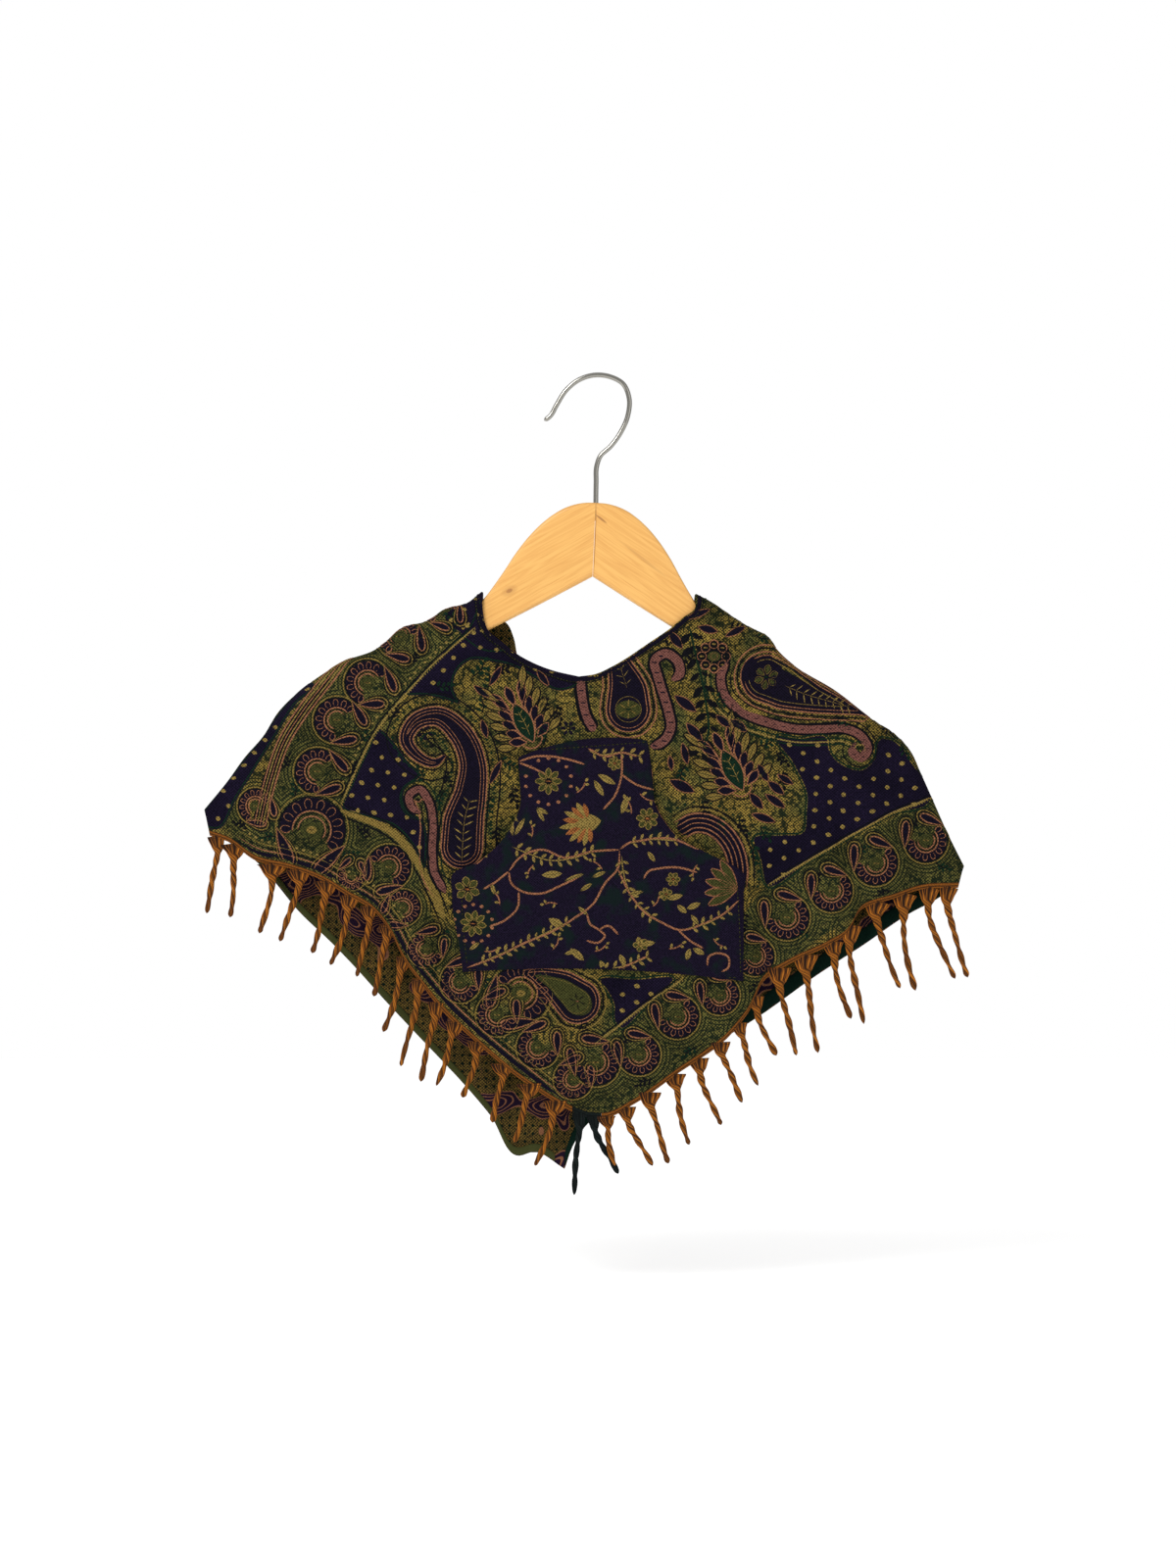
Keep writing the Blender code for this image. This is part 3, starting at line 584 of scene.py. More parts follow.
class Figures:
    """Woven figures drawn on the flat pattern as soft-edged strips of thread.

    A strip has a middle line and a half width at each of its points. Its cross-section is
    a low dome whose two edges dip just under the cloth's face. What lies on top rises more:
    filled shapes 0.2 to 0.3 mm, dark lines 0.3 to 0.4 mm and light threads up to 0.6 mm.
    """

    EDGE_DIP = -0.08
    EDGE_ROOM = 0.8     # nearest that a figure comes to the cloth's upper or lower edge

    def __init__(self, seed: int, pace: float = 1.0) -> None:
        self.rng = np.random.default_rng(seed)
        self.pace = pace
        self.parts: list[tuple[Array, Array, Colour]] = []

    def strip(self, axis: Array, half: Array, tint: Tint, lift: float, steps: int = 2) -> None:
        """Add one strip.

        Args:
            axis: its middle line.
            half: half its width at each point of that line.
            tint: its thread.
            lift: height of its middle above the cloth's face.
            steps: faces across it.
        """
        t = np.linspace(-1, 1, steps + 1)
        grid = axis[:, None] + sides(axis)[:, None] * (half[:, None] * t)[..., None]
        rise = np.full(steps + 1, lift)
        rise[0] = rise[-1] = self.EDGE_DIP
        self.parts.append((grid, rise, tint.value))

    def line(
        self, path: Sequence, width: float, tint: Tint, lift: float = 0.34,
        step: float = 1.7, taper: float = 0.1, curved: bool = True,
    ) -> None:
        """Add a line of thread through the points of a path, thin at its two ends."""
        knots = run_along(path)
        count = max(int(knots[-1] / (step * self.pace)) + 2, 4)
        s = np.linspace(0, 1, count)
        if curved:
            axis = smooth_path(path, s)
        else:
            shares = knots / knots[-1]
            axis = np.stack([np.interp(s, shares, row) for row in np.array(path).T], axis=-1)
        half = np.full(count, width * 0.58)
        if taper > 0:
            half = half * np.sqrt(np.clip(np.minimum(s, 1 - s) / taper, 0, 1))
        self.strip(axis, half, tint, lift)

    def leaf(
        self, base: Sequence, tip: Sequence, width: float, tint: Tint, lift: float = 0.24,
        edge: Optional[Tint] = None, edge_width: float = 0.9, fullest: float = 0.5,
    ) -> None:
        """Add a pointed leaf, and its outline where an edge is given."""
        base, tip = np.asarray(base, float), np.asarray(tip, float)
        count = max(int(np.linalg.norm(tip - base) / 1.8) + 2, 6)
        s = np.linspace(0, 1, count)
        axis = base + (tip - base) * s[:, None]
        power = math.log(0.5) / math.log(fullest)
        half = width / 2 * np.sin(math.pi * s**power) ** 0.8
        self.strip(axis, half, tint, lift, 2 if width < 5 else 4)
        if edge is not None:
            left = sides(axis) * half[:, None]
            loop = np.concatenate([(axis + left), (axis - left)[::-1]])
            self.line(loop, edge_width, edge, lift + 0.12, 1.6, 0.0, False)

    def disc(self, centre: Sequence, radius: float, tint: Tint, lift: float = 0.24) -> None:
        """Add a round spot."""
        u = np.cos(np.linspace(math.pi, 0, 7 if radius < 4 else 13))
        axis = np.asarray(centre, float) + np.stack([u * radius, 0 * u], axis=-1)
        self.strip(axis, radius * np.sqrt(1 - u * u), tint, lift, 2 if radius < 3 else 6)

    def ring(self, centre: Sequence, radius: float, width: float, tint: Tint,
             lift: float = 0.34) -> None:
        """Add a round ring."""
        turn = np.linspace(0, 2 * math.pi, max(int(radius * 3.6) + 6, 12))
        path = np.asarray(centre, float) + radius * np.stack([np.cos(turn), np.sin(turn)], axis=-1)
        self.line(path, width, tint, lift, 1.7, 0.0)

    def arc(self, spot: Spot, radius: float, spread: float, width: float, tint: Tint,
            lift: float = 0.34, steps: int = 2) -> None:
        """Add an arc about a spot that opens away from its heading; spread in degrees."""
        turn = np.radians(np.linspace(-spread, spread, max(int(radius * spot.size * 1.5), 9)))
        axis = spot.at(radius * np.stack([np.sin(turn), np.cos(turn)], axis=-1))
        s = np.linspace(0, 1, len(axis))
        half = width / 2 * np.sqrt(np.clip(np.minimum(s, 1 - s) / 0.06, 0.0, 1))
        self.strip(axis, half, tint, lift, steps)

    def drop(self, spot: Spot, head: Sequence, tip: Sequence, radius: float) -> None:
        """Add a teardrop: navy within a pink line, then a dark, a gold and a dark line."""
        head, tip = np.asarray(head, float), np.asarray(tip, float)
        reach = float(np.linalg.norm(head - tip))
        way = (head - tip) / reach
        right = np.array([way[1], -way[0]])
        for grow, width, tint, lift in DROP_LAYERS:
            size = radius + grow / spot.size
            t = np.linspace(0, math.pi, 10)
            along = (reach + size) * (1 - np.cos(t)) / 2
            half = size * 1.15 * np.sin(t) * np.sin(t / 2) ** 1.1
            axis = tip + along[:, None] * way
            if width is None:
                self.strip(spot.at(axis), half * spot.size, tint, lift, 4)
                continue
            loop = np.concatenate([
                axis + half[:, None] * right, (axis - half[:, None] * right)[::-1],
            ])
            self.line(spot.at(loop), width, tint, lift, 1.9, 0.0, False)

    def paisley(self, path: Sequence, radii: Sequence, layers: Sequence) -> None:
        """Add a paisley: a round bulb that narrows along a bent line to its curled tip.

        Args:
            path: its middle line, from the bulb's centre to the tip.
            radii: its half width at each of those points.
            layers: rows of (inset, width of the line or 0 for a filled shape, tint, lift).
        """
        knots = run_along(path)
        count = max(int(knots[-1] / 1.8), 12)
        s = np.linspace(0, 1, count)
        for inset, width, tint, lift in layers:
            centre = smooth_path(path, s)
            half = np.interp(s * knots[-1], knots, radii) - inset
            kept = max(int(np.argmax(half < 0.15)) if (half < 0.15).any() else count, 3)
            centre, half = centre[:kept], np.maximum(half[:kept], 0.0)
            way = unit(centre[1] - centre[0])
            u = half[0] * np.cos(np.linspace(math.pi, math.pi / 2, 9))[:-1]
            cap = centre[0] + u[:, None] * way
            axis = np.concatenate([cap, centre])
            half = np.concatenate([np.sqrt(np.maximum(half[0] ** 2 - u * u, 0)), half])
            half[-1] = min(half[-1], 0.2)
            if width == 0:
                self.strip(axis, half, tint, lift, 8)
                continue
            left = sides(axis) * half[:, None]
            loop = np.concatenate([(axis + left)[::-1], axis - left])
            self.line(loop, width, tint, lift, 1.7, 0.01, False)

    def palmette(self, spot: Spot) -> None:
        """Add the border's palmette: ringed centre, arcs and scalloped cells."""
        size = spot.size
        self.arc(spot, 1.20, 122, 1.2, GOLD, 0.36)
        self.arc(spot, 1.10, 122, 1.5, DARK, 0.26)
        self.arc(spot, 0.84, 118, 0.54 * size, NAVY, 0.26, 4)
        for angle in np.linspace(-108, 108, 9):
            turn = math.radians(angle)
            way = np.array([math.sin(turn), math.cos(turn)])
            side = np.array([way[1], -way[0]])
            t = np.linspace(-2.5, 2.5, 8)[:, None]
            loop = way * (0.86 + 0.18 * np.cos(t)) + side * 0.125 * np.sin(t)
            self.line(spot.at(loop), 1.05, PINK, 0.46, 1.9, 0.0, False)
        self.arc(spot, 0.63, 116, 1.5, PINK, 0.46)
        self.arc(spot, 0.55, 116, 1.0, DARK, 0.36)
        self.arc(spot, 0.45, 112, 1.3, PINK, 0.44)
        self.disc(spot.at((0, 0.0)), 0.36 * size, OLIVE, 0.26)
        square = np.array([(0, 0.33), (0.29, 0), (0, -0.30), (-0.29, 0), (0, 0.33)])
        self.line(spot.at(square), 1.2, DARK, 0.36, 2.0, 0.0, False)
        self.disc(spot.at((0, 0)), 0.17 * size, GOLD, 0.36)
        self.disc(spot.at((0, 0)), 0.09 * size, DARK, 0.44)

    def drops(self, spot: Spot) -> None:
        """Add the two teardrops that stand below a palmette."""
        for head, tip, radius in PALMETTE_DROPS:
            self.drop(spot, head, tip, radius)

    def flower(self, spot: Spot, petals: int, tint: Tint, edge: Optional[Tint],
               core: Tint, lift: float = 0.3) -> None:
        """Add a flower of pointed petals about a round core."""
        for k in range(petals):
            turn = 2 * math.pi * k / petals
            way = np.array([math.sin(turn), math.cos(turn)])
            width = 3.4 * spot.size / petals
            self.leaf(spot.at(0.22 * way), spot.at(way), width, tint, lift, edge, 0.9, 0.6)
        self.disc(spot.at((0, 0)), 0.30 * spot.size, DARK, lift + 0.06)
        self.disc(spot.at((0, 0)), 0.20 * spot.size, core, lift + 0.16)

    def gear(self, spot: Spot, petals: int) -> None:
        """Add a ring of round petals, each ringed in pink about a gold spot."""
        self.disc(spot.at((0, 0)), 1.05 * spot.size, DARK, 0.24)
        for k in range(petals):
            turn = 2 * math.pi * k / petals
            place = spot.at((0.74 * math.sin(turn), 0.74 * math.cos(turn)))
            self.ring(place, 0.27 * spot.size, 1.2, PINK, 0.44)
            self.disc(place, 0.13 * spot.size, GOLD, 0.40)
        self.disc(spot.at((0, 0)), 0.40 * spot.size, OLIVE, 0.36)
        self.ring(spot.at((0, 0)), 0.22 * spot.size, 1.0, PINK, 0.5)

    def twig(self, spot: Spot, leaves: int, tint: Tint, leaf_tint: Tint) -> None:
        """Add a short bent twig with leaves on its two sides and one at its end."""
        t = np.linspace(0, 1, 5)
        stem = np.stack([0.22 * np.sin(2.4 * t), t], axis=-1)
        self.line(spot.at(stem), 1.1, tint, 0.34)
        for k in range(leaves):
            share = 0.18 + 0.62 * k / max(leaves - 1, 1)
            root = np.array([0.22 * math.sin(2.4 * share), share])
            hand = 1 if k % 2 else -1
            reach = 0.42 - 0.10 * share
            self.leaf(
                spot.at(root), spot.at(root + reach * np.array([0.82 * hand, 0.57])),
                0.23 * spot.size, leaf_tint, 0.34,
            )
        end = stem[-1]
        self.leaf(spot.at(end), spot.at(end + (0.05, 0.34)), 0.25 * spot.size, leaf_tint, 0.34)

    def vine(self, path: Sequence, width: float, tint: Tint, spacing: float, leaf: float,
             leaf_tint: Tint) -> None:
        """Add a stem with leaves on its two sides."""
        self.line(path, width, tint, 0.40)
        count = int(run_along(path)[-1] / spacing)
        s = (np.arange(count) + 0.6) / max(count, 1)
        places = smooth_path(path, s)
        ahead = unit(smooth_path(path, np.minimum(s + 0.01, 1.0)) - smooth_path(path, s - 0.01))
        left = np.stack([-ahead[:, 1], ahead[:, 0]], axis=-1)
        for place, way, side in zip(places, ahead, left):
            for hand in (1, -1):
                out = unit(way * self.rng.uniform(0.5, 0.9) + side * hand)
                reach = leaf * self.rng.uniform(0.75, 1.15)
                start = place + out * 0.6
                self.leaf(start, start + out * reach, reach * 0.50, leaf_tint, 0.38)

    def dots(self, polygon: Array, heading: float, pitch: float, size: float,
             clear: float = 3.2) -> None:
        """Add staggered rows of small spots inside a polygon, clear of its edges."""
        low, high = polygon.min(axis=0) - pitch, polygon.max(axis=0) + pitch
        middle = (low + high) / 2
        reach = float(np.linalg.norm(high - low)) / 2
        steps = np.arange(-int(reach / pitch) - 1, int(reach / pitch) + 2)
        i, j = np.meshgrid(steps, steps)
        local = np.stack([(i + 0.5 * (j % 2)) * pitch, j * pitch * 0.84], axis=-1).reshape(-1, 2)
        way = np.array([math.cos(math.radians(heading)), math.sin(math.radians(heading))])
        places = middle + local[:, :1] * way + local[:, 1:] * np.array([-way[1], way[0]])
        inside = polygon_distance(polygon, places) < -clear
        for place in places[inside]:
            lean = self.rng.uniform(-0.5, 0.5)
            half = size * self.rng.uniform(0.8, 1.1) * np.array([math.cos(lean), math.sin(lean)])
            self.leaf(place - half, place + half, size * 1.8, STRAW, 0.4)

    def ticks(self, path: Sequence, spacing: float, length: float, width: float, tint: Tint,
              lean: float, lift: float) -> None:
        """Add short strokes along the left side of a path."""
        count = int(run_along(path)[-1] / spacing)
        places = smooth_path(path, (np.arange(count) + 0.5) / count)
        way = unit(np.gradient(places, axis=0))
        out = unit(np.stack([-way[:, 1], way[:, 0]], axis=-1) + lean * way)
        for place, side in zip(places, out):
            self.line([place, place + side * length], width, tint, lift, 2.0, 0.2, False)

    def beads(self, path: Sequence, spacing: float, offset: float, size: float, tint: Tint,
              lift: float) -> None:
        """Add small spots along a path at an offset to its left."""
        count = max(int(run_along(path)[-1] / spacing), 2)
        places = smooth_path(path, (np.arange(count) + 0.5) / count)
        places = places + sides(places) * offset
        for place in places:
            self.disc(place, size, tint, lift)

    def stitches(self, path: Array, pitch: float, share: float, tint: Tint) -> None:
        """Add a row of short straight stitches along a path."""
        count = int(run_along(path)[-1] / pitch)
        places = smooth_path(path, (np.arange(count) + 0.5) / count)
        way = unit(np.gradient(places, axis=0)) * share / 2
        for start, end in zip(places - way, places + way):
            self.line([start, end], 0.8, tint, 0.6, 2.0, 0.3, False)

    def build(self, name: str, slot: str, cloth: ClothMap, material: bpy.types.Material,
              mirror: bool = False) -> bpy.types.Object:
        """Lay every strip on a cloth's face, and leave out what would hang off its edge."""
        piece = Piece(name)
        turned = np.array([-1.0 if mirror else 1.0, 1.0])
        for grid, rise, tint in self.parts:
            grid = grid * turned
            points, normals, room = cloth.read(grid)
            if not (room > self.EDGE_ROOM).any():
                continue
            points = points + normals * rise[:, None]
            rows, columns = room.shape
            number = np.arange(rows * columns).reshape(rows, columns)
            under = np.stack([number[1:, 0], number[:-1, 0], number[:-1, -1], number[1:, -1]], -1)
            faces = np.concatenate([grid_faces(rows, columns), under])
            kept = (room.ravel()[faces] > self.EDGE_ROOM).all(axis=1)
            colour = np.broadcast_to(np.array(tint), (rows * columns, 3))
            piece.add(points, faces[kept], tint=colour)
        return wear(piece.build(material, 80.0), slot)


def polygon_distance(polygon: Array, places: Array) -> Array:
    """Distance to the edge of a closed polygon, below 0 inside it."""
    start = np.asarray(polygon, float)
    stop = np.roll(start, -1, axis=0)
    nearest = np.full(len(places), 1e9)
    crossings = np.zeros(len(places), int)
    for a, b in zip(start, stop):
        run = b - a
        share = np.clip(((places - a) @ run) / max(float(run @ run), 1e-9), 0, 1)
        off = np.linalg.norm(places - a - share[:, None] * run, axis=1)
        nearest = np.minimum(nearest, off)
        level = (a[1] > places[:, 1]) != (b[1] > places[:, 1])
        rise = run[1] if abs(run[1]) > 1e-9 else 1e-9
        crossings += level & (places[:, 0] < a[0] + run[0] * (places[:, 1] - a[1]) / rise)
    return np.where(crossings % 2 == 1, -nearest, nearest)


def closed_curve(points: Sequence, count: int) -> Array:
    """A smooth closed line through the given points."""
    points = np.asarray(points, float)
    around = np.concatenate([points[-2:], points, points[:3]])
    knots = run_along(around)
    begin, end = knots[2] / knots[-1], knots[len(points) + 2] / knots[-1]
    return smooth_path(around, np.linspace(begin, end, count, endpoint=False))

# ---- pouch ---------------------------------------------------------------------------

class PouchRow(NamedTuple):
    """One level of the pouch; "gape" is the share of the mouth's lift at its two ends."""

    left_across: float
    left_up: float
    right_across: float
    right_up: float
    bow: float
    gape: float


POUCH_ROWS = (
    PouchRow(-56, -291, 42, -278, 7, 0.0),
    PouchRow(-55, -302, 44, -292, 5, 0.0),
    PouchRow(-54, -315, 46, -310, 2, 0.0),
    PouchRow(-54, -327, 48, -327, 0, 0.15),
    PouchRow(-59, -340, 55, -340, 0, 0.75),
    PouchRow(-69, -355, 67, -353, 0, 1.0),
    PouchRow(-86, -370, 88, -364, 0, 0.8),
    PouchRow(-105, -379, 114, -378, 0, 0.2),
    PouchRow(-106, -392, 115, -394, 0, 0.0),
    PouchRow(-105, -410, 115, -413, 1, 0.0),
    PouchRow(-101, -432, 115, -438, 3, 0.0),
    PouchRow(-98, -454, 115, -461, 6, 0.0),
)


def through(table: Array, count: int) -> Array:
    """Rows of a table read at evenly spaced places on a smooth curve through them."""
    slopes = np.gradient(table, axis=0)
    places = np.linspace(0, len(table) - 1, count)
    index = np.clip(places.astype(int), 0, len(table) - 2)
    return cubic(table, slopes, index, (places - index)[:, None], 1.0)


@dataclass(frozen=True)
class Pouch:
    """The pouch pocket: sewn all round apart from two slanting mouths that gape."""

    wall: float = 1.3
    seam_lift: float = 0.1
    lift: float = 9.0
    mouth_lift: float = 7.5
    crown_down: float = 0.6
    crown_across: float = 0.5
    rows: int = 156
    columns: int = 190

    def surface(self, below: ClothMap) -> tuple[Array, Array]:
        """Points and normals of the pouch's middle surface.

        Depth = the cloth below, less the lift of the seams, of a crown that is highest in
        the middle, and of the two mouths.
        """
        table = through(np.array(POUCH_ROWS, float), self.rows)
        share = np.linspace(0, 1, self.columns)
        across = table[:, :1] + (table[:, 2:3] - table[:, :1]) * share
        up = table[:, 1:2] + (table[:, 3:4] - table[:, 1:2]) * share
        up = up + table[:, 4:5] * 4 * share * (1 - share)
        level = np.linspace(0, 1, self.rows)[:, None]
        swell = np.sin(math.pi * share) ** self.crown_across
        crown = np.sin(math.pi * level) ** self.crown_down * swell
        gape = np.clip(table[:, 5:6], 0, 1) * (1 - swell)
        lift = self.seam_lift + self.lift * crown + self.mouth_lift * gape
        cloth = below.read(np.stack([across, up], axis=-1))[0]
        depth = cloth[..., 1] - lift - self.wall / 2
        points = np.stack([across, depth, up], axis=-1)
        return points, surface_normals(points, -1)

    def build(
        self, below: ClothMap, material: bpy.types.Material,
    ) -> tuple[bpy.types.Object, ClothMap]:
        """Make the pouch on the front cloth; give back its map too."""
        points, normals = self.surface(below)
        piece = Piece("pouch_cloth")
        outer = points + normals * self.wall / 2
        add_wall(piece, outer, points - normals * self.wall / 2, -1, (3, 2))
        made = wear(piece.build(material), "pouch_cloth", "front_pocket")
        return made, ClothMap(points[..., [0, 2]], outer, normals)


# ---- bands inside the back hem -------------------------------------------------------

@dataclass(frozen=True)
class Band:
    """A narrow strip on the inner face of the back, just above its hem."""

    name: str
    node: str
    slot: str
    width: float
    first: int
    last: int
    wall: float = 0.9
    above_hem: float = 0.6
    steps: int = 9

    def build(
        self, grid: Array, normals: Array, rounding: int, material: bpy.types.Material,
    ) -> bpy.types.Object:
        """Make the strip from the back's own lines.

        Args:
            grid: the back cloth's middle surface.
            normals: its outward normals.
            rounding: rows of the grid that go round the shoulder.
            material: the strip's finish.
        """
        lines = grid[:, self.first:self.last + 1]
        facing = normals[:, self.first:self.last + 1]
        hang = np.linalg.norm(lines[-1] - lines[rounding], axis=-1)
        start = np.clip(1 - self.width / hang, 0.02, 1.0)
        stop = 1 - self.above_hem / hang
        share = start + (stop - start) * np.linspace(0, 1, self.steps)[:, None]
        rows = rounding - 1 + share * (len(lines) - rounding)
        low = np.clip(rows.astype(int), 0, len(lines) - 2)
        part = (rows - low)[..., None]
        column = np.arange(lines.shape[1])[None, :]
        place = lines[low, column] * (1 - part) + lines[low + 1, column] * part
        away = unit(facing[low, column] * (1 - part) + facing[low + 1, column] * part)
        across = np.linspace(-1, 1, self.steps)[:, None] + 0 * share
        soft = self.wall * (1 - 0.6 * across**6)
        near = place - away * (CLOTH / 2 - 0.2)
        far = place - away * (CLOTH / 2 + soft)[..., None]
        piece = Piece(self.name)
        along = run_along(place[0]) + 0 * share
        weave = np.stack([along, across, along * 0], axis=-1)
        add_wall(piece, far, near, -1, (1, 1), weave=weave)
        return wear(piece.build(material), self.slot, self.node)


# ---- fringe --------------------------------------------------------------------------

class Tassel(NamedTuple):
    """Where a tassel grows from the strip and where its tip hangs."""

    root_across: float
    tip_across: float
    tip_up: float
    tip_back: float = 0


LEFT_TASSELS = (
    Tassel(-288, -295, -410), Tassel(-274, -277, -413), Tassel(-244, -253, -425),
    Tassel(-224, -238, -431), Tassel(-203, -214, -440), Tassel(-185, -199, -449),
    Tassel(-170, -179, -458), Tassel(-156, -167, -473), Tassel(-143, -159, -500),
    Tassel(-131, -145, -526), Tassel(-118, -131, -538), Tassel(-104, -119, -541),
    Tassel(-87, -98, -550), Tassel(-68, -76, -569), Tassel(-48, -60, -584),
    Tassel(-28, -43, -602),
)
TIP_TASSELS = (Tassel(-10, -14, -625, 3), Tassel(1, 20, -609, 7))
RIGHT_TASSELS = (
    Tassel(11, 17, -602), Tassel(26, 46, -602), Tassel(44, 59, -600), Tassel(63, 74, -586),
    Tassel(81, 98, -571), Tassel(98, 115, -554), Tassel(112, 127, -541), Tassel(124, 140, -518),
    Tassel(143, 156, -518), Tassel(163, 173, -516), Tassel(184, 197, -490),
    Tassel(198, 207, -494), Tassel(219, 236, -467), Tassel(240, 247, -469),
    Tassel(259, 277, -460), Tassel(274, 288, -459),
)


@dataclass(frozen=True)
class HemLine:
    """The front hem: its points, outward normals and the way the cloth hangs there."""

    points: Array
    normals: Array
    hang: Array

    def at(self, across: Array) -> tuple[Array, Array, Array]:
        """Point, normal and way of hanging at places across."""
        found = []
        for values in (self.points, self.normals, self.hang):
            read = [np.interp(across, self.points[:, 0], values[:, k]) for k in range(3)]
            found.append(np.stack(read, axis=-1))
        return found[0], unit(found[1]), unit(found[2])


@dataclass(frozen=True)
class Fringe:
    """A strip below the front hem with twisted tassels that grow out of its lower edge."""

    name: str
    node: str
    slot: str
    ends: tuple[float, float]
    tassels: tuple
    drop: float = -0.4
    height: float = 5.0
    wall: float = 1.6
    station: float = 1.6
    rings: int = 66
    sides: int = 20
    yarn: float = 2.45
    pitch: float = 11.0
    ply: float = 0.20
    wave: float = 1.0

    def add_strip(self, piece: Piece, hem: HemLine) -> None:
        """Sweep the strip's rounded section along the hem."""
        count = int((self.ends[1] - self.ends[0]) / self.station) + 2
        place, facing, hang = hem.at(np.linspace(*self.ends, count))
        turn = np.linspace(0, 2 * math.pi, 17)[:-1]
        down = np.sign(np.cos(turn)) * np.abs(np.cos(turn)) ** 0.5
        out = np.sign(np.sin(turn)) * np.abs(np.sin(turn)) ** 0.7
        middle = place + hang * (self.drop + self.height / 2)
        points = (
            middle[:, None] + hang[:, None] * (down * self.height / 2)[:, None]
            + facing[:, None] * (out * self.wall / 2)[:, None]
        )
        along = run_along(place)[:, None] + 0 * turn
        strip = np.stack([along, down + 0 * along, np.ones_like(along)], axis=-1)
        piece.add(points, tube_faces(count, len(turn)), yarn=strip.reshape(-1, 3))

    def add_tassels(self, piece: Piece, hem: HemLine) -> None:
        """Sweep all the twisted tassels at once: each is a turning oval on a bent line."""
        table = np.array(self.tassels, float)
        root, _, hang = hem.at(table[:, 0])
        root = root + hang * (self.drop + self.height * 0.7)
        tip = np.stack([table[:, 1], root[:, 1] + table[:, 3], table[:, 2]], axis=-1)
        reach = np.linalg.norm(tip - root, axis=-1)
        number = np.arange(len(table))[:, None]
        s = np.linspace(0, 1, self.rings)[None, :] + 0 * number
        bend = root + hang * (0.28 * reach)[:, None]
        q = s[..., None]
        centre = root[:, None] * (1 - q)**2 + bend[:, None] * 2 * q * (1 - q) + tip[:, None] * q**2
        sway = self.wave * ease(s * 3) * (1.0 - 0.3 * s)
        centre[..., 0] += sway * np.sin(1.9 * number + 7.0 * s)
        centre[..., 1] += 0.6 * sway * np.sin(2.7 * number + 5.0 * s)
        tangent = unit(np.gradient(centre, axis=1))
        sideways = unit(np.cross(tangent, np.array([0.0, 1.0, 0.0])))
        sideways = sideways * np.sign(sideways[..., :1])
        forward = np.cross(sideways, tangent)
        gather = ease(s / 0.42)
        lump = 1 + 0.10 * np.sin(2.3 * number + 11 * s) + 0.06 * np.sin(5.1 * number + 31 * s)
        close = np.sqrt(np.clip((1 - s) / 0.035, 0, 1))
        spread = np.clip(np.abs(np.gradient(table[:, 0])) * 0.48, 4.0, 12.0)[:, None]
        wide = spread * (1 - gather) + self.yarn * lump * gather
        thick = (self.wall * 0.5) * (1 - gather) + self.yarn * 0.9 * lump * gather
        shrink = (1 - 0.22 * s) * close
        angle = np.linspace(0, 2 * math.pi, self.sides, endpoint=False)
        twist = math.pi * np.maximum(s - 0.22, 0) * reach[:, None] / self.pitch
        turned = angle - twist[..., None]
        oval = 1 + self.ply * np.cos(2 * turned) * (gather**2)[..., None]
        u = (wide * shrink)[..., None] * oval * np.cos(angle)
        v = (thick * shrink)[..., None] * oval * np.sin(angle)
        points = centre[:, :, None] + sideways[:, :, None] * u[..., None] \
            + forward[:, :, None] * v[..., None]
        along = (s * reach[:, None])[..., None] + 0 * angle
        shade = np.stack([np.cos(turned), np.sin(turned), along + 2.0], axis=-1)
        faces = tube_faces(self.rings, self.sides, flip=True)
        for tassel, colours in zip(points, shade):
            piece.add(tassel, faces, yarn=colours.reshape(-1, 3))

    def build(self, hem: HemLine, material: bpy.types.Material) -> bpy.types.Object:
        """Make the strip with its tassels."""
        piece = Piece(self.name)
        self.add_strip(piece, hem)
        self.add_tassels(piece, hem)
        return wear(piece.build(material, 80.0), self.slot, self.node)


# ---- hanger --------------------------------------------------------------------------

ARM_TOP = (
    (0, 0), (8, -0.3), (16, -2), (24, -5.2), (32, -10.3), (41, -18), (50, -28), (59, -40.5),
    (68, -55.5), (75, -66.5), (82, -76.5), (100, -90), (161, -125), (201, -149), (213, -157),
    (221, -164), (223, -171), (221.5, -175.5),
)
ARM_BOTTOM = (
    (0, -56.3), (36, -77.3), (73, -98.3), (140, -136.5), (196, -171.5), (209, -179.5), (218, -178),
    (221.5, -175.5),
)
HOOK_ROUTE = (
    (3, -110), (3, -96), (3.2, -80), (3.6, -68), (6.5, -60), (14, -53), (22, -42), (27.5, -29),
    (28.5, -16), (24, -5), (14, 0.6), (2, 1.9), (-10, -1.8), (-20, -10), (-27, -21), (-32, -29.5),
    (-36.5, -33),
)


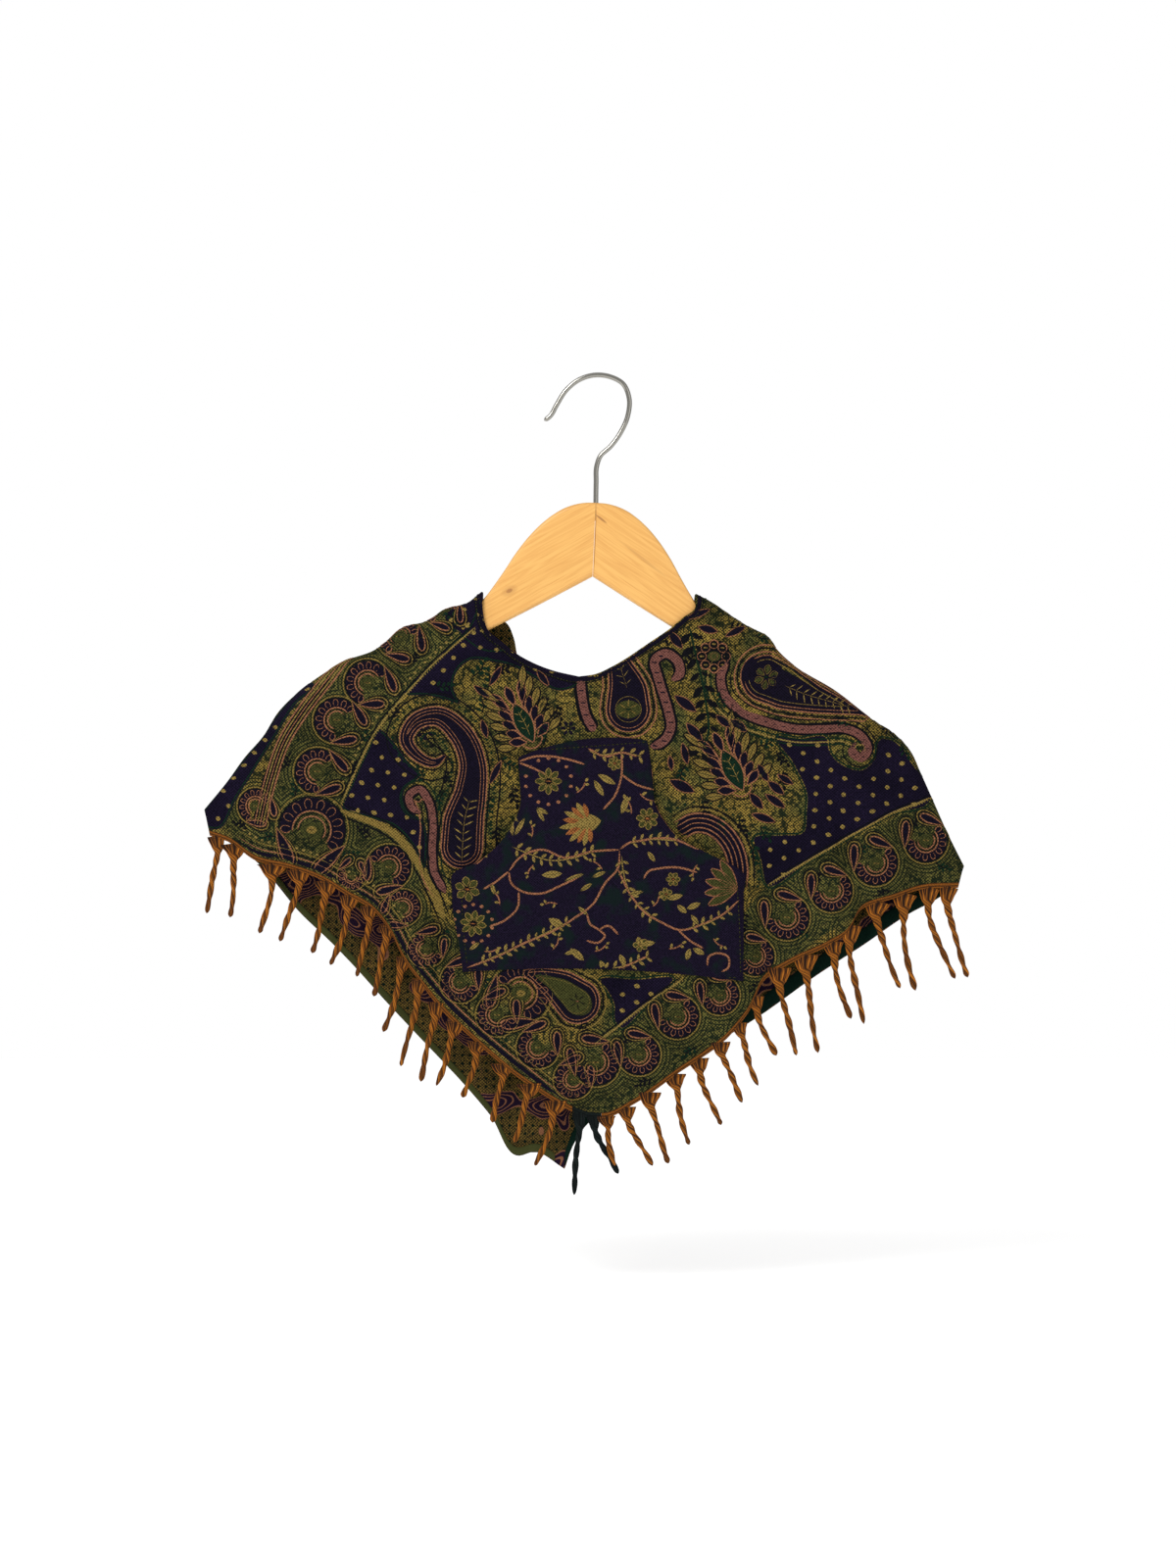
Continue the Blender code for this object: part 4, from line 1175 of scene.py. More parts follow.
@dataclass(frozen=True)
class Hanger:
    """Two mitred arms cut from a board and a bent wire hook."""

    top: tuple[float, float] = (3.0, -96.0)
    tilt: float = math.radians(2.5)
    thickness: float = 12.0
    edge: float = 3.2
    joint: float = 0.1
    stations: int = 150
    wire: float = 3.8
    wire_points: int = 180
    wire_sides: int = 20
    board_slope: float = math.radians(32)

    def arm(
        self, name: str, node: str, hand: int, material: bpy.types.Material,
    ) -> bpy.types.Object:
        """One arm: rounded sections from its upper to its lower edge.

        Args:
            name: the piece's name.
            node: the arm that it stands for.
            hand: -1 for the left arm and 1 for the right one.
            material: the wood.
        """
        shares = 1 - (1 - np.linspace(0, 1, self.stations)) ** 1.25
        upper = smooth_path(ARM_TOP, shares)
        lower = smooth_path(ARM_BOTTOM, shares)
        upper[0, 0] = lower[0, 0] = self.joint
        height = np.linalg.norm(upper - lower, axis=1)
        upper[-1] = lower[-1] = (upper[-1] + lower[-1]) / 2
        corner = np.linspace(0, math.pi / 2, 6)
        radius = np.minimum(self.edge, height * 0.5)[:, None]
        half = self.thickness / 2 * np.sqrt(np.clip(height / 9.0, 0.0, 1.0))[:, None]
        half = np.maximum(half, radius)
        down = np.concatenate([
            radius * (1 - np.cos(corner)), height[:, None] - radius * (1 - np.cos(corner[::-1])),
        ], axis=1)
        out = half - radius + radius * np.sin(np.concatenate([corner, corner[::-1]]))
        loop_down = np.concatenate([down, down[:, ::-1]], axis=1)
        loop_out = np.concatenate([-out, out[:, ::-1]], axis=1)
        way = (lower - upper) / np.maximum(height, 1e-6)[:, None]
        x = upper[:, :1] + way[:, :1] * loop_down
        z = upper[:, 1:] + way[:, 1:] * loop_down
        x = x * hand
        grain = np.stack([
            x * math.cos(self.board_slope) * hand - z * math.sin(self.board_slope),
            loop_out,
            x * math.sin(self.board_slope) * hand + z * math.cos(self.board_slope),
        ], axis=-1)
        points = np.stack([
            self.top[0] + x * math.cos(self.tilt) + z * math.sin(self.tilt),
            loop_out,
            self.top[1] - x * math.sin(self.tilt) + z * math.cos(self.tilt),
        ], axis=-1)
        faces = tube_faces(self.stations, points.shape[1], flip=hand > 0)
        piece = Piece(name)
        piece.add(points, faces, wood=grain.reshape(-1, 3))
        return wear(piece.build(material, 50.0), "pine", node)

    def hook(self, material: bpy.types.Material) -> bpy.types.Object:
        """The hook: a round wire along its route with domed ends."""
        route = smooth_path(HOOK_ROUTE, np.linspace(0, 1, self.wire_points))
        way = unit(np.gradient(route, axis=0))
        side = np.stack([-way[:, 1], way[:, 0]], axis=-1)
        angle = np.linspace(0, 2 * math.pi, self.wire_sides, endpoint=False)
        radius = np.full(self.wire_points, self.wire / 2)
        dome = np.array([0.10, 0.75, 0.95])
        radius[:3] *= dome
        radius[-3:] *= dome[::-1]
        across = route[:, :1] + side[:, :1] * radius[:, None] * np.cos(angle)
        up = route[:, 1:] + side[:, 1:] * radius[:, None] * np.cos(angle)
        depth = radius[:, None] * np.sin(angle)
        points = np.stack([across, depth, up], axis=-1)
        piece = Piece("hook_wire")
        piece.add(points, tube_faces(self.wire_points, self.wire_sides))
        return wear(piece.build(material, 50.0), "wire", "hanger_hook")


# ---- the pattern of the front, drawn on the flat cloth --------------------------------

NAVY_FIELDS = (
    ((-112, -184), (-98, -171), (-84, -156), (-74, -158), (-74, -182), (-60, -204), (-80, -208),
     (-98, -197)),
    ((-82.5, -167.2), (-94.5, -191.2), (-105.8, -202.5), (-123, -221.2), (-142.5, -243),
     (-126, -243.8), (-107.2, -248.2), (-100.5, -250.5), (-105.8, -237.8), (-102, -224.2),
     (-93, -216.8), (-74.2, -218.2), (-61.5, -221.2), (-44.2, -230.2), (-25.5, -240), (-9, -234.8),
     (-3, -228.8), (-33, -221.2), (-55.5, -202.5), (-70.5, -183.8)),
    ((-162, -269.2), (-172.5, -287.2), (-183, -309.8), (-190.5, -329.2), (-171, -336.8),
     (-150, -343.5), (-135, -360.8), (-127.5, -377.2), (-125.2, -363), (-129.8, -337.5),
     (-139.5, -331.5), (-143.2, -316.5), (-130.5, -303.8), (-140.2, -293.2), (-151.5, -278.2)),
    ((138.8, -275.2), (156.8, -276.8), (179.2, -276.8), (180, -285), (192, -297.8),
     (205.5, -300.8), (216, -291), (219.8, -276.8), (228.8, -278.2), (245.2, -297.8),
     (259.5, -316.5), (258, -323.2), (228.8, -333), (197.2, -350.2), (165, -369), (133.5, -387.8),
     (128.2, -366.8), (123, -352.5), (144, -350.2), (161.2, -348), (163.5, -333), (163.5, -316.5),
     (159, -306), (150.8, -291), (144, -282.8)),
    ((6.8, -461.2), (34.5, -459.8), (61.5, -459), (42, -477.8), (20.2, -495), (18, -491.2),
     (17.2, -478.5), (10.5, -465.8)),
    ((-216, -228.8), (-231, -245.2), (-256.5, -279.8), (-276, -303.8), (-294.8, -327.8),
     (-303, -339.8), (-286.5, -345.8), (-270, -320.2), (-253.5, -294.8), (-240, -273.8),
     (-225, -249.8), (-211.5, -236.2)),
)
DOT_HEADINGS = (40, -8, -8, 28, 30, 50)
CENTRE_FIELD = (
    (-62, -284), (40, -276), (56, -330), (112, -372), (116, -440), (60, -462), (-98, -450),
    (-104, -378), (-60, -335),
)
BORDER_FIELDS = (
    ((-82.5, -161.2), (-100.5, -168.8), (-153, -191.2), (-194.2, -215.2), (-205.5, -228.8),
     (-231, -270), (-246, -303.8), (-256.5, -339.8), (-273, -354.8), (-228, -371.2), (-183, -390),
     (-145.5, -431.2), (-123, -465), (-93, -495), (-48, -532.5), (-14.2, -557.2), (-3, -557.2),
     (-33, -513.8), (-63, -483.8), (-100.5, -450), (-123, -408.8), (-134.2, -378.8),
     (-153, -347.2), (-190.5, -330.8), (-179.2, -300), (-162, -267.8), (-143.2, -244.5),
     (-109.5, -209.2), (-88.5, -191.2)),
    ((-3, -510.8), (19.5, -495), (69.8, -459), (102, -427.5), (133.5, -387.8), (192, -356.2),
     (255.8, -322.5), (278.2, -311.2), (285.8, -386.2), (244.5, -390), (214.5, -405),
     (169.5, -431.2), (147, -450), (124.5, -476.2), (87, -521.2), (34.5, -551.2), (-3, -560.2),
     (-14.2, -557.2)),
)
SERRATED_LINES = (
    ((-88.5, -191.2), (-109.5, -209.2), (-143.2, -244.5), (-162, -267.8), (-179.2, -300),
     (-192, -329.2)),
    ((267, -315.8), (255.8, -322.5), (228.8, -333), (197.2, -350.2), (165, -369), (133.5, -387.8)),
    ((69.8, -459), (42, -477.8), (20.2, -495), (1.5, -509.2)),
)
BORDER_PALMETTES = spots(
    (-147, -198.8, 125, 14.5), (-171, -234, 140, 15.5), (-194.2, -262.5, 148, 15.5),
    (-208.5, -301.5, 158, 15.5), (-114, -177.8, 120, 12), (-213, -345.8, 70, 23),
    (-154.5, -374.2, 42, 15), (-256.5, -327.8, 130, 12), (-183, -381, -110, 9.5),
    (-144, -405, 25, 12), (-126, -436.5, -140, 12), (-100.5, -462, -130, 13.5),
    (-72, -486.8, -130, 14), (-41.2, -511.5, -130, 14), (-14.2, -536.2, -130, 13),
    (36, -516.8, -52, 14), (65.2, -488.2, -52, 14.5), (97.5, -471.8, -55, 13),
    (148.5, -412.5, -58, 15), (182.2, -392.2, -62, 14), (216, -371.2, -64, 15),
    (255, -354, -66, 15), (124.5, -442.5, -55, 13), (-54, -470.2, 35, 20), (3, -522.8, -50, 16),
)
BACK_PALMETTES = spots(
    # they stand below the hem of the front, so only the back has them
    (200, -424, -50, 11), (173, -449, -50, 11), (146, -473, -50, 11), (120, -500, -48, 11),
    (95, -528, -48, 11), (72, -553, -46, 11.5), (50, -575, -50, 11), (20, -580, -100, 10),
    (-118, -481, -130, 9.5), (-150, -455, -125, 13), (-182, -432, -122, 14),
    (-214, -408, -122, 13), (-244, -387, -122, 11),
)
BACK_EDGE = (
    (289, -350), (272, -361), (255, -373), (240, -390), (224, -409), (192, -440), (150, -486),
    (135, -502), (97, -542), (76, -567), (57, -590), (45, -589), (22, -601),
)
STRIPES = (
    (-186, -209.2), (-195.8, -223.5), (-221.2, -257.2), (-234, -278.2), (-244.5, -308.2),
    (-252.8, -342),
)
STRIPE_OFFSETS = (-4.4, -2.2, 0.0, 2.2, 4.4)
WAVE_LINE = (
    (-192, -330.8), (-171, -338.2), (-153, -347.2), (-138, -362.2), (-129, -377.2), (-120, -395.2),
    (-111.8, -414.8),
)
CURLED_PAISLEY = (
    (-99, -359.2), (-97.5, -339), (-92.2, -317.2), (-90.8, -294.8), (-100.5, -272.2),
    (-117.8, -259.5), (-134.2, -264), (-141, -276.8), (-132.8, -289.5), (-119.2, -294.8),
    (-111, -288.8),
)
CURLED_RADII = (16.5, 16.0, 12.5, 10.5, 9.6, 7.8, 6.6, 5.6, 4.6, 3.6, 1.4)
CURLED_BAND = (
    (-129.8, -333), (-137.2, -328.5), (-138.8, -319.5), (-131.2, -315), (-124.5, -323.2),
    (-120.8, -341.2), (-121.5, -362.2), (-119.2, -380.2), (-111, -393.8),
)
CURLED_CHAIN = (
    (-99, -371.2), (-98.2, -354.8), (-96.8, -338.2), (-93, -322.5),
)
RIGHT_PAISLEY = (
    (132.8, -229.5), (148.5, -237), (168, -244.5), (186, -249.8), (202.5, -255), (211.5, -258.8),
)
RIGHT_RADII = (20.0, 18.5, 13.0, 8.6, 4.0, 1.0)
RIGHT_BAND = (
    (104.2, -215.2), (98.2, -228.8), (102, -245.2), (114.8, -256.5), (135.8, -264.8),
    (156, -269.2), (177, -269.2), (193.5, -269.2), (205.5, -275.2), (210, -284.2), (204.8, -291),
    (198, -287.2), (200.2, -279),
)
RIGHT_CHAIN = (
    (147, -236.2), (163.5, -243), (181.5, -248.2), (196.5, -252.8),
)
NECK_PAISLEY = (
    (27.8, -254.2), (27, -238.5), (22.5, -224.2), (17.2, -210.8),
)
NECK_RADII = (17.5, 15.5, 11.0, 7.0)
NECK_BAND = (
    (60.8, -232.5), (66.8, -227.2), (65.2, -217.5), (56.2, -211.5), (48, -216.8), (50.2, -228.8),
    (54, -241.5), (58.5, -256.5), (60, -268.5), (54.8, -278.2), (44.2, -283.5),
)
LEFT_NECK_BAND = (
    (-9, -225.8), (-7.5, -245.2), (-4.5, -258.8), (2.2, -270.8),
)
LOW_PAISLEY = (
    (-11.2, -476.2), (-24, -465.8), (-39, -458.2), (-52.5, -453.8),
)
LOW_RADII = (17.5, 14.0, 8.0, 2.0)
ARC_PAISLEY = (
    (61.5, -339.8), (75, -333), (87.8, -333), (102, -339.8), (113.2, -353.2), (119.2, -373.5),
    (118.5, -390.8),
)
BRANCH = (
    (74.2, -189.8), (78.8, -211.5), (83.2, -228.8), (87, -251.2), (88.5, -272.2), (81, -290.2),
)
CRESTS = spots(
    (-51.8, -264.8, 117, 1), (107.2, -300.8, 117, 1.05),
)
LEAVES = (
    # base across, up, tip across, up, width
    (63, -243.8, 79.5, -255.8, 7.5), (72, -264.8, 84, -278.2, 7), (69, -279.8, 72.8, -296.2, 5.5),
    (59.2, -289.5, 60.8, -300.8, 4.5), (58.5, -194.2, 69, -207.8, 6.5), (81, -191.2, 96, -195, 6),
    (105, -262, 118, -271, 7), (126, -296, 134, -309, 6.5), (134, -309, 146, -319, 6.5),
    (120, -318, 130, -330, 6.5), (-36, -300, -28, -312, 5.5), (-84, -262, -80, -276, 5),
    (59.2, -308.2, 78, -317.2, 8), (72, -185.2, 90, -177.8, 5), (63, -191.2, 54, -182.2, 6),
    (94.5, -258.8, 105.8, -267.8, 6), (-78, -236.2, -69, -221.2, 5), (-90, -236.2, -78, -245.2, 5),
    (-69, -293.2, -78, -311.2, 5), (-33, -236.2, -42, -224.2, 5), (132, -318.8, 147, -329.2, 6),
    (141, -303.8, 153, -311.2, 5), (121.5, -333.8, 139.5, -339.8, 6),
    (102, -198.8, 117, -191.2, 5),
)
HEM_EDGE = (
    (-273, -353.2), (-257.2, -362.2), (-231, -368.2), (-207.8, -375.8), (-186, -389.2),
    (-167.2, -399.8), (-151.5, -417.8), (-141, -437.2), (-129, -453.8), (-112.5, -474.8),
    (-90.8, -495.8), (-45.8, -533.2), (-15, -557.2),
)


# ---- the vines of the pouch ------------------------------------------------------------

POUCH_STEMS = (
    ((-95.2, -450.8), (-73.5, -442.5), (-50.2, -431.2), (-29.2, -422.2), (-12, -411.8),
     (0, -402.8), (10.5, -385.5), (19.5, -375), (21, -360.8)),
    ((21, -360.8), (27, -356.2), (36.8, -354), (60, -352.5), (81, -360.8)),
    ((-63, -377.2), (-54.8, -366.8), (-37.5, -360.8), (-21, -366.8), (0, -362.2), (21, -360.8)),
    ((19.5, -375), (27.8, -392.2), (38.2, -406.5), (54.8, -417), (65.2, -421.5), (84.8, -417),
     (101.2, -408.8), (111.8, -399)),
    ((65.2, -421.5), (74.2, -429.8), (84.8, -435.8)),
    ((-3.8, -408.8), (-1.5, -417), (5.2, -421.5), (9.8, -426), (5.2, -431.2), (-4.5, -429.8)),
    ((5.2, -421.5), (12, -418.5), (20.2, -425.2)),
    ((-82.5, -390.8), (-73.5, -385.5), (-63, -377.2)),
    ((-63, -377.2), (-61.5, -385.5), (-54.8, -391.5), (-37.5, -393.8), (-24.8, -388.5),
     (-10.5, -381.8)),
    ((-55.5, -392.2), (-56.2, -404.2), (-66.8, -414.8), (-78, -419.2)),
    ((39, -383.2), (42.8, -377.2), (51, -375), (64.5, -374.2), (80.2, -378)),
    ((-55.5, -294), (-42.8, -290.2), (-30.8, -290.2), (-18, -292.5), (-5.2, -296.2)),
    ((-55.5, -294.8), (-45.8, -298.5), (-35.2, -303.8)),
    ((-3, -284.2), (10.5, -290.2), (22.5, -287.2), (34.5, -290.2)),
    ((22.5, -287.2), (22.5, -303.8), (17.2, -320.2), (8.2, -330.8)),
    ((22.5, -303.8), (33, -311.2), (48, -315.8)),
    ((4.5, -453), (15, -452.2), (27, -448.5), (42, -441.8)),
    ((87.8, -449.2), (88.5, -442.5), (96, -439.5), (103.5, -442.5), (103.5, -450.8),
     (98.2, -453.8)),
    ((54, -327.8), (64.5, -339.8), (72, -348.8)),
)
POUCH_LEAFY = (
    ((-87, -447.8), (-63, -437.2), (-39, -426), (-18, -415.5)),
    ((-60.8, -358.5), (-48, -363.8), (-30.8, -369), (-16.5, -367.5), (1.5, -362.2)),
    ((22.5, -365.2), (24, -378.8), (31.5, -398.2), (46.5, -412.5)),
    ((-3, -285.8), (6, -288.8), (22.5, -287.2), (38.2, -290.2)),
    ((6, -452.2), (27, -448.5), (43.5, -441.8)),
    ((72, -420.8), (88.5, -416.2), (105, -406.5)),
    ((27, -356.2), (42, -353.2), (64.5, -354)),
)
POUCH_LEAVES = (
    (-72, -327.8, -55.5, -339.8, 5), (-60, -350.2, -63, -332.2, 5),
    (-58.5, -350.2, -51, -336.8, 4.5), (-38.2, -380.2, -22.5, -378.8, 6),
    (-21, -384.8, -6, -378.8, 4), (-73.5, -395.2, -76.5, -386.2, 4),
    (-33, -413.2, -21, -419.2, 6.5), (-10.5, -404.2, -3, -410.2, 4), (0, -386.2, -9, -392.2, 4),
    (10.5, -377.2, 0, -381.8, 4), (27, -395.2, 39, -392.2, 4), (4.5, -303.8, 18, -311.2, 5.5),
    (9, -320.2, 1.5, -308.2, 5), (27, -320.2, 22.5, -333.8, 5.5), (-16.5, -435.8, -6, -444.8, 6),
    (-21, -440.2, -10.5, -437.2, 4), (72, -405.8, 82.5, -401.2, 5), (72, -408.8, 64.5, -402.8, 5),
    (75, -410.2, 81, -417.8, 4.5), (36, -432.8, 48, -431.2, 5), (39, -435.8, 34.5, -426.8, 5),
    (74.2, -435.8, 72, -444.8, 5), (76.5, -435.8, 85.5, -440.2, 5), (25.5, -449.2, 21, -440.2, 5),
    (10.5, -453.8, 6, -444.8, 5), (48, -369.8, 42, -362.2, 4.5), (57, -398.2, 69, -395.2, 5),
    (-33, -333.8, -42, -329.2, 4), (-42, -329.2, -36, -339.8, 4), (-85.5, -431.2, -93, -437.2, 4),
)
POUCH_FLOWERS = (
    # across, up, heading, size, petals
    (-94.5, -390.8, 100, 9.5, 6), (-90, -417, 80, 10, 8), (-33, -309, 90, 10, 8),
    (61.5, -383.2, 60, 5.5, 6), (56.2, -394.5, 30, 5, 5), (36.8, -432.8, 40, 5.5, 5),
    (17.2, -295.5, 20, 5.5, 6), (42, -337.5, 20, 8.5, 7),
)
FEATHER_FLOWER = Spot(-2.5, -340.5, 190, 21.0)
TULIP = Spot(111, -390.8, 165, 13.0)
DOT_RINGS = spots(
    (-33, -309, 0, 17.5), (-90, -417, 0, 14.5),
)

POUCH_SEAMS = (
    ((-58, -287), (-20, -284), (20, -281), (44, -279)),
    ((-60, -290), (-62, -312), (-62, -330)),
    ((46, -282), (52, -304), (57, -326)),
    ((-99, -385), (-98, -415), (-95, -448)),
    ((-94, -452), (-40, -455), (20, -459), (60, -461), (110, -458)),
    ((113, -455), (112, -420), (110, -386)),
)
POUCH_BUDS = spots(
    (-30, -437, 75, 11), (-70, -403, 120, 10), (-44, -372, 250, 9), (8, -376, 150, 10),
    (46, -404, 70, 10), (58, -436, 30, 11), (92, -428, -30, 10), (30, -334, 120, 12),
    (36, -318, -20, 12), (-46, -352, 100, 10), (-12, -318, 60, 11), (46, -300, -60, 10),
    (-82, -438, 20, 10), (2, -438, 40, 10), (80, -372, -100, 10), (-26, -402, 190, 10),
    (88, -396, 60, 9), (-88, -372, 60, 10),
)
TWIGS = spots(
    # dark twigs on the gold ground
    (-92, -230, 60, 15), (-76, -224, 20, 14), (-80, -240, 95, 14), (-38, -243, -60, 14),
    (-36, -262, -85, 14), (-26, -250, -75, 13), (-84, -258, 100, 12), (-72, -278, 50, 12),
    (-70, -291, -20, 13), (-60, -312, -70, 14), (-76, -320, -95, 13), (-72, -342, -80, 12),
    (-128, -310, 120, 11), (-156, -262, 60, 12), (-120, -236, 10, 12), (-112, -300, -60, 11),
    (-112, -316, -100, 11), (-106, -398, -60, 12), (-112, -420, -70, 13), (-98, -436, -60, 13),
    (-82, -458, -40, 13), (72, -222, 80, 13), (98, -236, -70, 13), (106, -250, -60, 12),
    (72, -296, -100, 13), (84, -322, -60, 13), (98, -334, -70, 13), (112, -336, -60, 13),
    (128, -342, -50, 12), (140, -286, -40, 12), (126, -282, 30, 13), (146, -300, -80, 12),
    (124, -356, -80, 13), (116, -408, -80, 12), (184, -262, -20, 12), (222, -262, -50, 12),
    (236, -278, -60, 12), (104, -192, 20, 12), (124, -198, 0, 12), (56, -206, 60, 12),
    (-30, -470, 20, 13), (-8, -490, -60, 13), (-100, -190, 150, 12), (-140, -220, 60, 11),
    (-178, -280, 60, 11), (-186, -306, 70, 11), (-226, -322, 100, 12), (-236, -300, 70, 11),
    (-238, -352, 190, 12), (-262, -346, 160, 11), (-192, -366, 20, 12), (-168, -352, 150, 11),
    (-170, -396, 200, 11), (238, -342, 25, 11), (198, -362, 25, 11), (164, -384, 30, 11),
    (112, -450, 40, 11), (78, -470, 40, 11), (50, -496, 40, 11), (20, -508, 40, 11),
    (262, -370, -20, 11), (228, -392, -150, 11), (166, -424, -150, 11), (132, -462, -140, 11),
    (80, -512, -140, 11), (46, -536, -150, 11), (-64, -512, 140, 11), (-92, -484, 140, 11),
    (-118, -458, 140, 11),
)

CURLED_HEAD = Spot(-127.2, -271.8, 60, 6.4)
GEAR = Spot(93, -213.8, 90, 12.5)
SMALL_FLOWER = Spot(-18, -268.5, 60, 6)


# ---- drawing the pattern -----------------------------------------------------------------

def offset_line(path: Sequence, offset: float, count: int = 60) -> Array:
    """A smooth line at an offset to the left of a path."""
    line = smooth_path(path, np.linspace(0, 1, count))
    return line + sides(line) * offset


class GroundFigures(Figures):
    """The paisley pattern of the front and the back."""

    def crest(self, spot: Spot) -> None:
        """A green leaf with a crown of outlined petals on both sides, in a fan of dark leaves."""
        for k, up in enumerate((-15, -8, -1, 6, 14, 21)):
            for hand in (-1, 1):
                base = (hand * (13 - 0.8 * k), up + 1)
                tip = (hand * (27 - 1.5 * k), up + 7 + 2.4 * k)
                self.leaf(spot.at(base), spot.at(tip), 6.4, GOLD, 0.24, DARK, 1.2, 0.6)
                self.line([spot.at(base), spot.at(tip)], 1.2, GREEN, 0.4)
        for k, up in enumerate((-14, -8.5, -2.5, 4, 10.5)):
            for hand in (-1, 1):
                base = (hand * (4.4 + 2.4 * math.sin(0.7 * k)), up)
                tip = (hand * (16.5 - 1.2 * k), up + 6 + 2.4 * k)
                self.leaf(spot.at(base), spot.at(tip), 6.6, NAVY, 0.22, PINK, 1.15, 0.6)
        for lean in (-0.42, 0.0, 0.42):
            self.leaf(
                spot.at((14 * lean, 14)), spot.at((30 * lean, 31)), 6.6, NAVY, 0.22,
                PINK, 1.15, 0.6,
            )
        self.leaf(spot.at((0, -16)), spot.at((0, 17)), 14.0 * spot.size, GREEN, 0.3, PINK, 1.2)
        self.line(spot.at([(0, -10), (0.6, 0), (0, 10)]), 1.3, STRAW, 0.46)
        for up in (-5, 1, 7):
            for hand in (-1, 1):
                self.leaf(spot.at((0, up)), spot.at((3.6 * hand, up + 3)), 1.9, STRAW, 0.46)
        root = Spot(*spot.at((0, -12)), spot.heading + 180, 1.0)
        self.arc(root, 8.5, 80, 1.3, PINK)
        self.arc(root, 11.0, 70, 1.3, DARK, 0.28)

    def draw_fields(self) -> None:
        """The dotted navy fields and their serrated gold edges."""
        for corners, heading in zip(NAVY_FIELDS, DOT_HEADINGS):
            outline = closed_curve(corners, 90)
            self.dots(outline, heading, 12.6, 2.3)
            self.line(offset_line(outline, 1.4, 90), 1.3, GREEN, 0.30, 2.4, 0.0)
        for path in SERRATED_LINES:
            self.line(path, 1.6, STRAW, 0.4)
            self.ticks(path, 2.3, 2.0, 0.9, STRAW, 0.5, 0.36)
            self.line(offset_line(path, -2.0), 1.1, DARK, 0.36)

    def draw_borders(self) -> None:
        """The palmettes of the borders, the stripes, the hem's vine and its dark edge."""
        for spot in BORDER_PALMETTES:
            self.palmette(spot)
            self.drops(spot)
        self.line(offset_line(STRIPES, 0.0), 12.5, DARK, 0.24, 1.8, 0.0)
        for k, offset in enumerate(STRIPE_OFFSETS):
            self.line(offset_line(STRIPES, offset), 1.3, (PINK, STRAW)[k % 2], 0.48, 2.2, 0.0)
        for offset in (-4.4, 4.6):
            self.line(offset_line(WAVE_LINE, offset), 1.3, DARK, 0.32)
        self.line(offset_line(WAVE_LINE, 0.0), 6.0, GOLD, 0.30)
        self.line(HEM_EDGE, 3.4, NAVY, 0.36)
        for offset, tint in ((3.0, PINK), (5.2, DARK), (7.4, GOLD)):
            self.line(offset_line(HEM_EDGE, offset, 90), 1.1, tint, 0.38)
        for path in (offset_line(HEM_EDGE, 10.0, 90), offset_line(SERRATED_LINES[0], -5.5)):
            self.beads(path, 5.4, 0.0, 1.2, STRAW, 0.38)

    def draw_back_border(self) -> None:
        """What only the back has: a row of palmettes and lines along its longer hem."""
        for spot in BACK_PALMETTES:
            self.palmette(spot)
        for offset, tint in ((0.0, NAVY), (-2.6, PINK), (-4.8, DARK)):
            self.line(offset_line(BACK_EDGE, offset, 90), 1.6, tint, 0.38)

    def draw_curled_paisley(self) -> None:
        """The tall paisley of the left half, whose tip curls right round, and its rose band."""
        self.paisley(CURLED_PAISLEY, CURLED_RADII, (
            (-9.5, 1.3, DARK, 0.30), (-1.5, 1.3, DARK, 0.34),
            (0.0, 0, NAVY, 0.26), (0.6, 1.3, PINK, 0.46), (3.1, 1.2, PINK, 0.46),
            (5.5, 1.1, PINK, 0.46),
        ))
        shares = np.linspace(0, 1, 46)
        centre = smooth_path(CURLED_PAISLEY, shares)
        knots = run_along(CURLED_PAISLEY)
        reach = np.interp(shares * knots[-1], knots, np.array(CURLED_RADII) + 5.2)
        for hand in (-1, 1):
            for place in (centre + hand * sides(centre) * reach[:, None])[:40]:
                self.disc(place, 1.15, GREEN, 0.32)
        self.vine(CURLED_CHAIN, 1.0, GOLD, 6.0, 6.8, STRAW)
        self.flower(CURLED_HEAD, 5, NAVY, None, GOLD)
        self.line(CURLED_BAND, 10.0, DARK, 0.24, 1.8, 0.06)
        self.line(CURLED_BAND, 7.2, ROSE, 0.40, 1.8, 0.06)
        self.beads(CURLED_BAND, 7.0, 0.0, 1.2, NAVY, 0.54)
        for offset, tint in ((-7.4, DARK), (-9.6, PINK), (6.6, GREEN)):
            self.line(offset_line(CURLED_BAND, offset), 1.2, tint, 0.32)

    def draw_right_paisley(self) -> None:
        """The paisley that lies along the right shoulder, with its rose band and scroll."""
        self.paisley(RIGHT_PAISLEY, RIGHT_RADII, (
            (-4.4, 1.2, PINK, 0.40), (-2.2, 1.3, DARK, 0.30), (0.0, 0, NAVY, 0.26),
            (0.5, 1.3, PINK, 0.46), (3.2, 1.2, PINK, 0.46), (6.4, 1.1, GOLD, 0.44),
        ))
        self.vine(RIGHT_CHAIN, 1.0, GOLD, 5.6, 6.4, STRAW)
        self.flower(Spot(*RIGHT_PAISLEY[0], 20, 9.5), 6, OLIVE, GOLD, GREEN)
        self.line(RIGHT_BAND, 11.0, DARK, 0.24, 1.8, 0.05)
        self.line(RIGHT_BAND, 8.0, ROSE, 0.40, 1.8, 0.05)
        self.beads(RIGHT_BAND, 7.0, 0.0, 1.3, NAVY, 0.54)
        for offset, tint in ((-7.6, GREEN), (-10.0, STRAW), (-12.2, GREEN), (7.2, DARK)):
            self.line(offset_line(RIGHT_BAND, offset), 1.2, tint, 0.34)

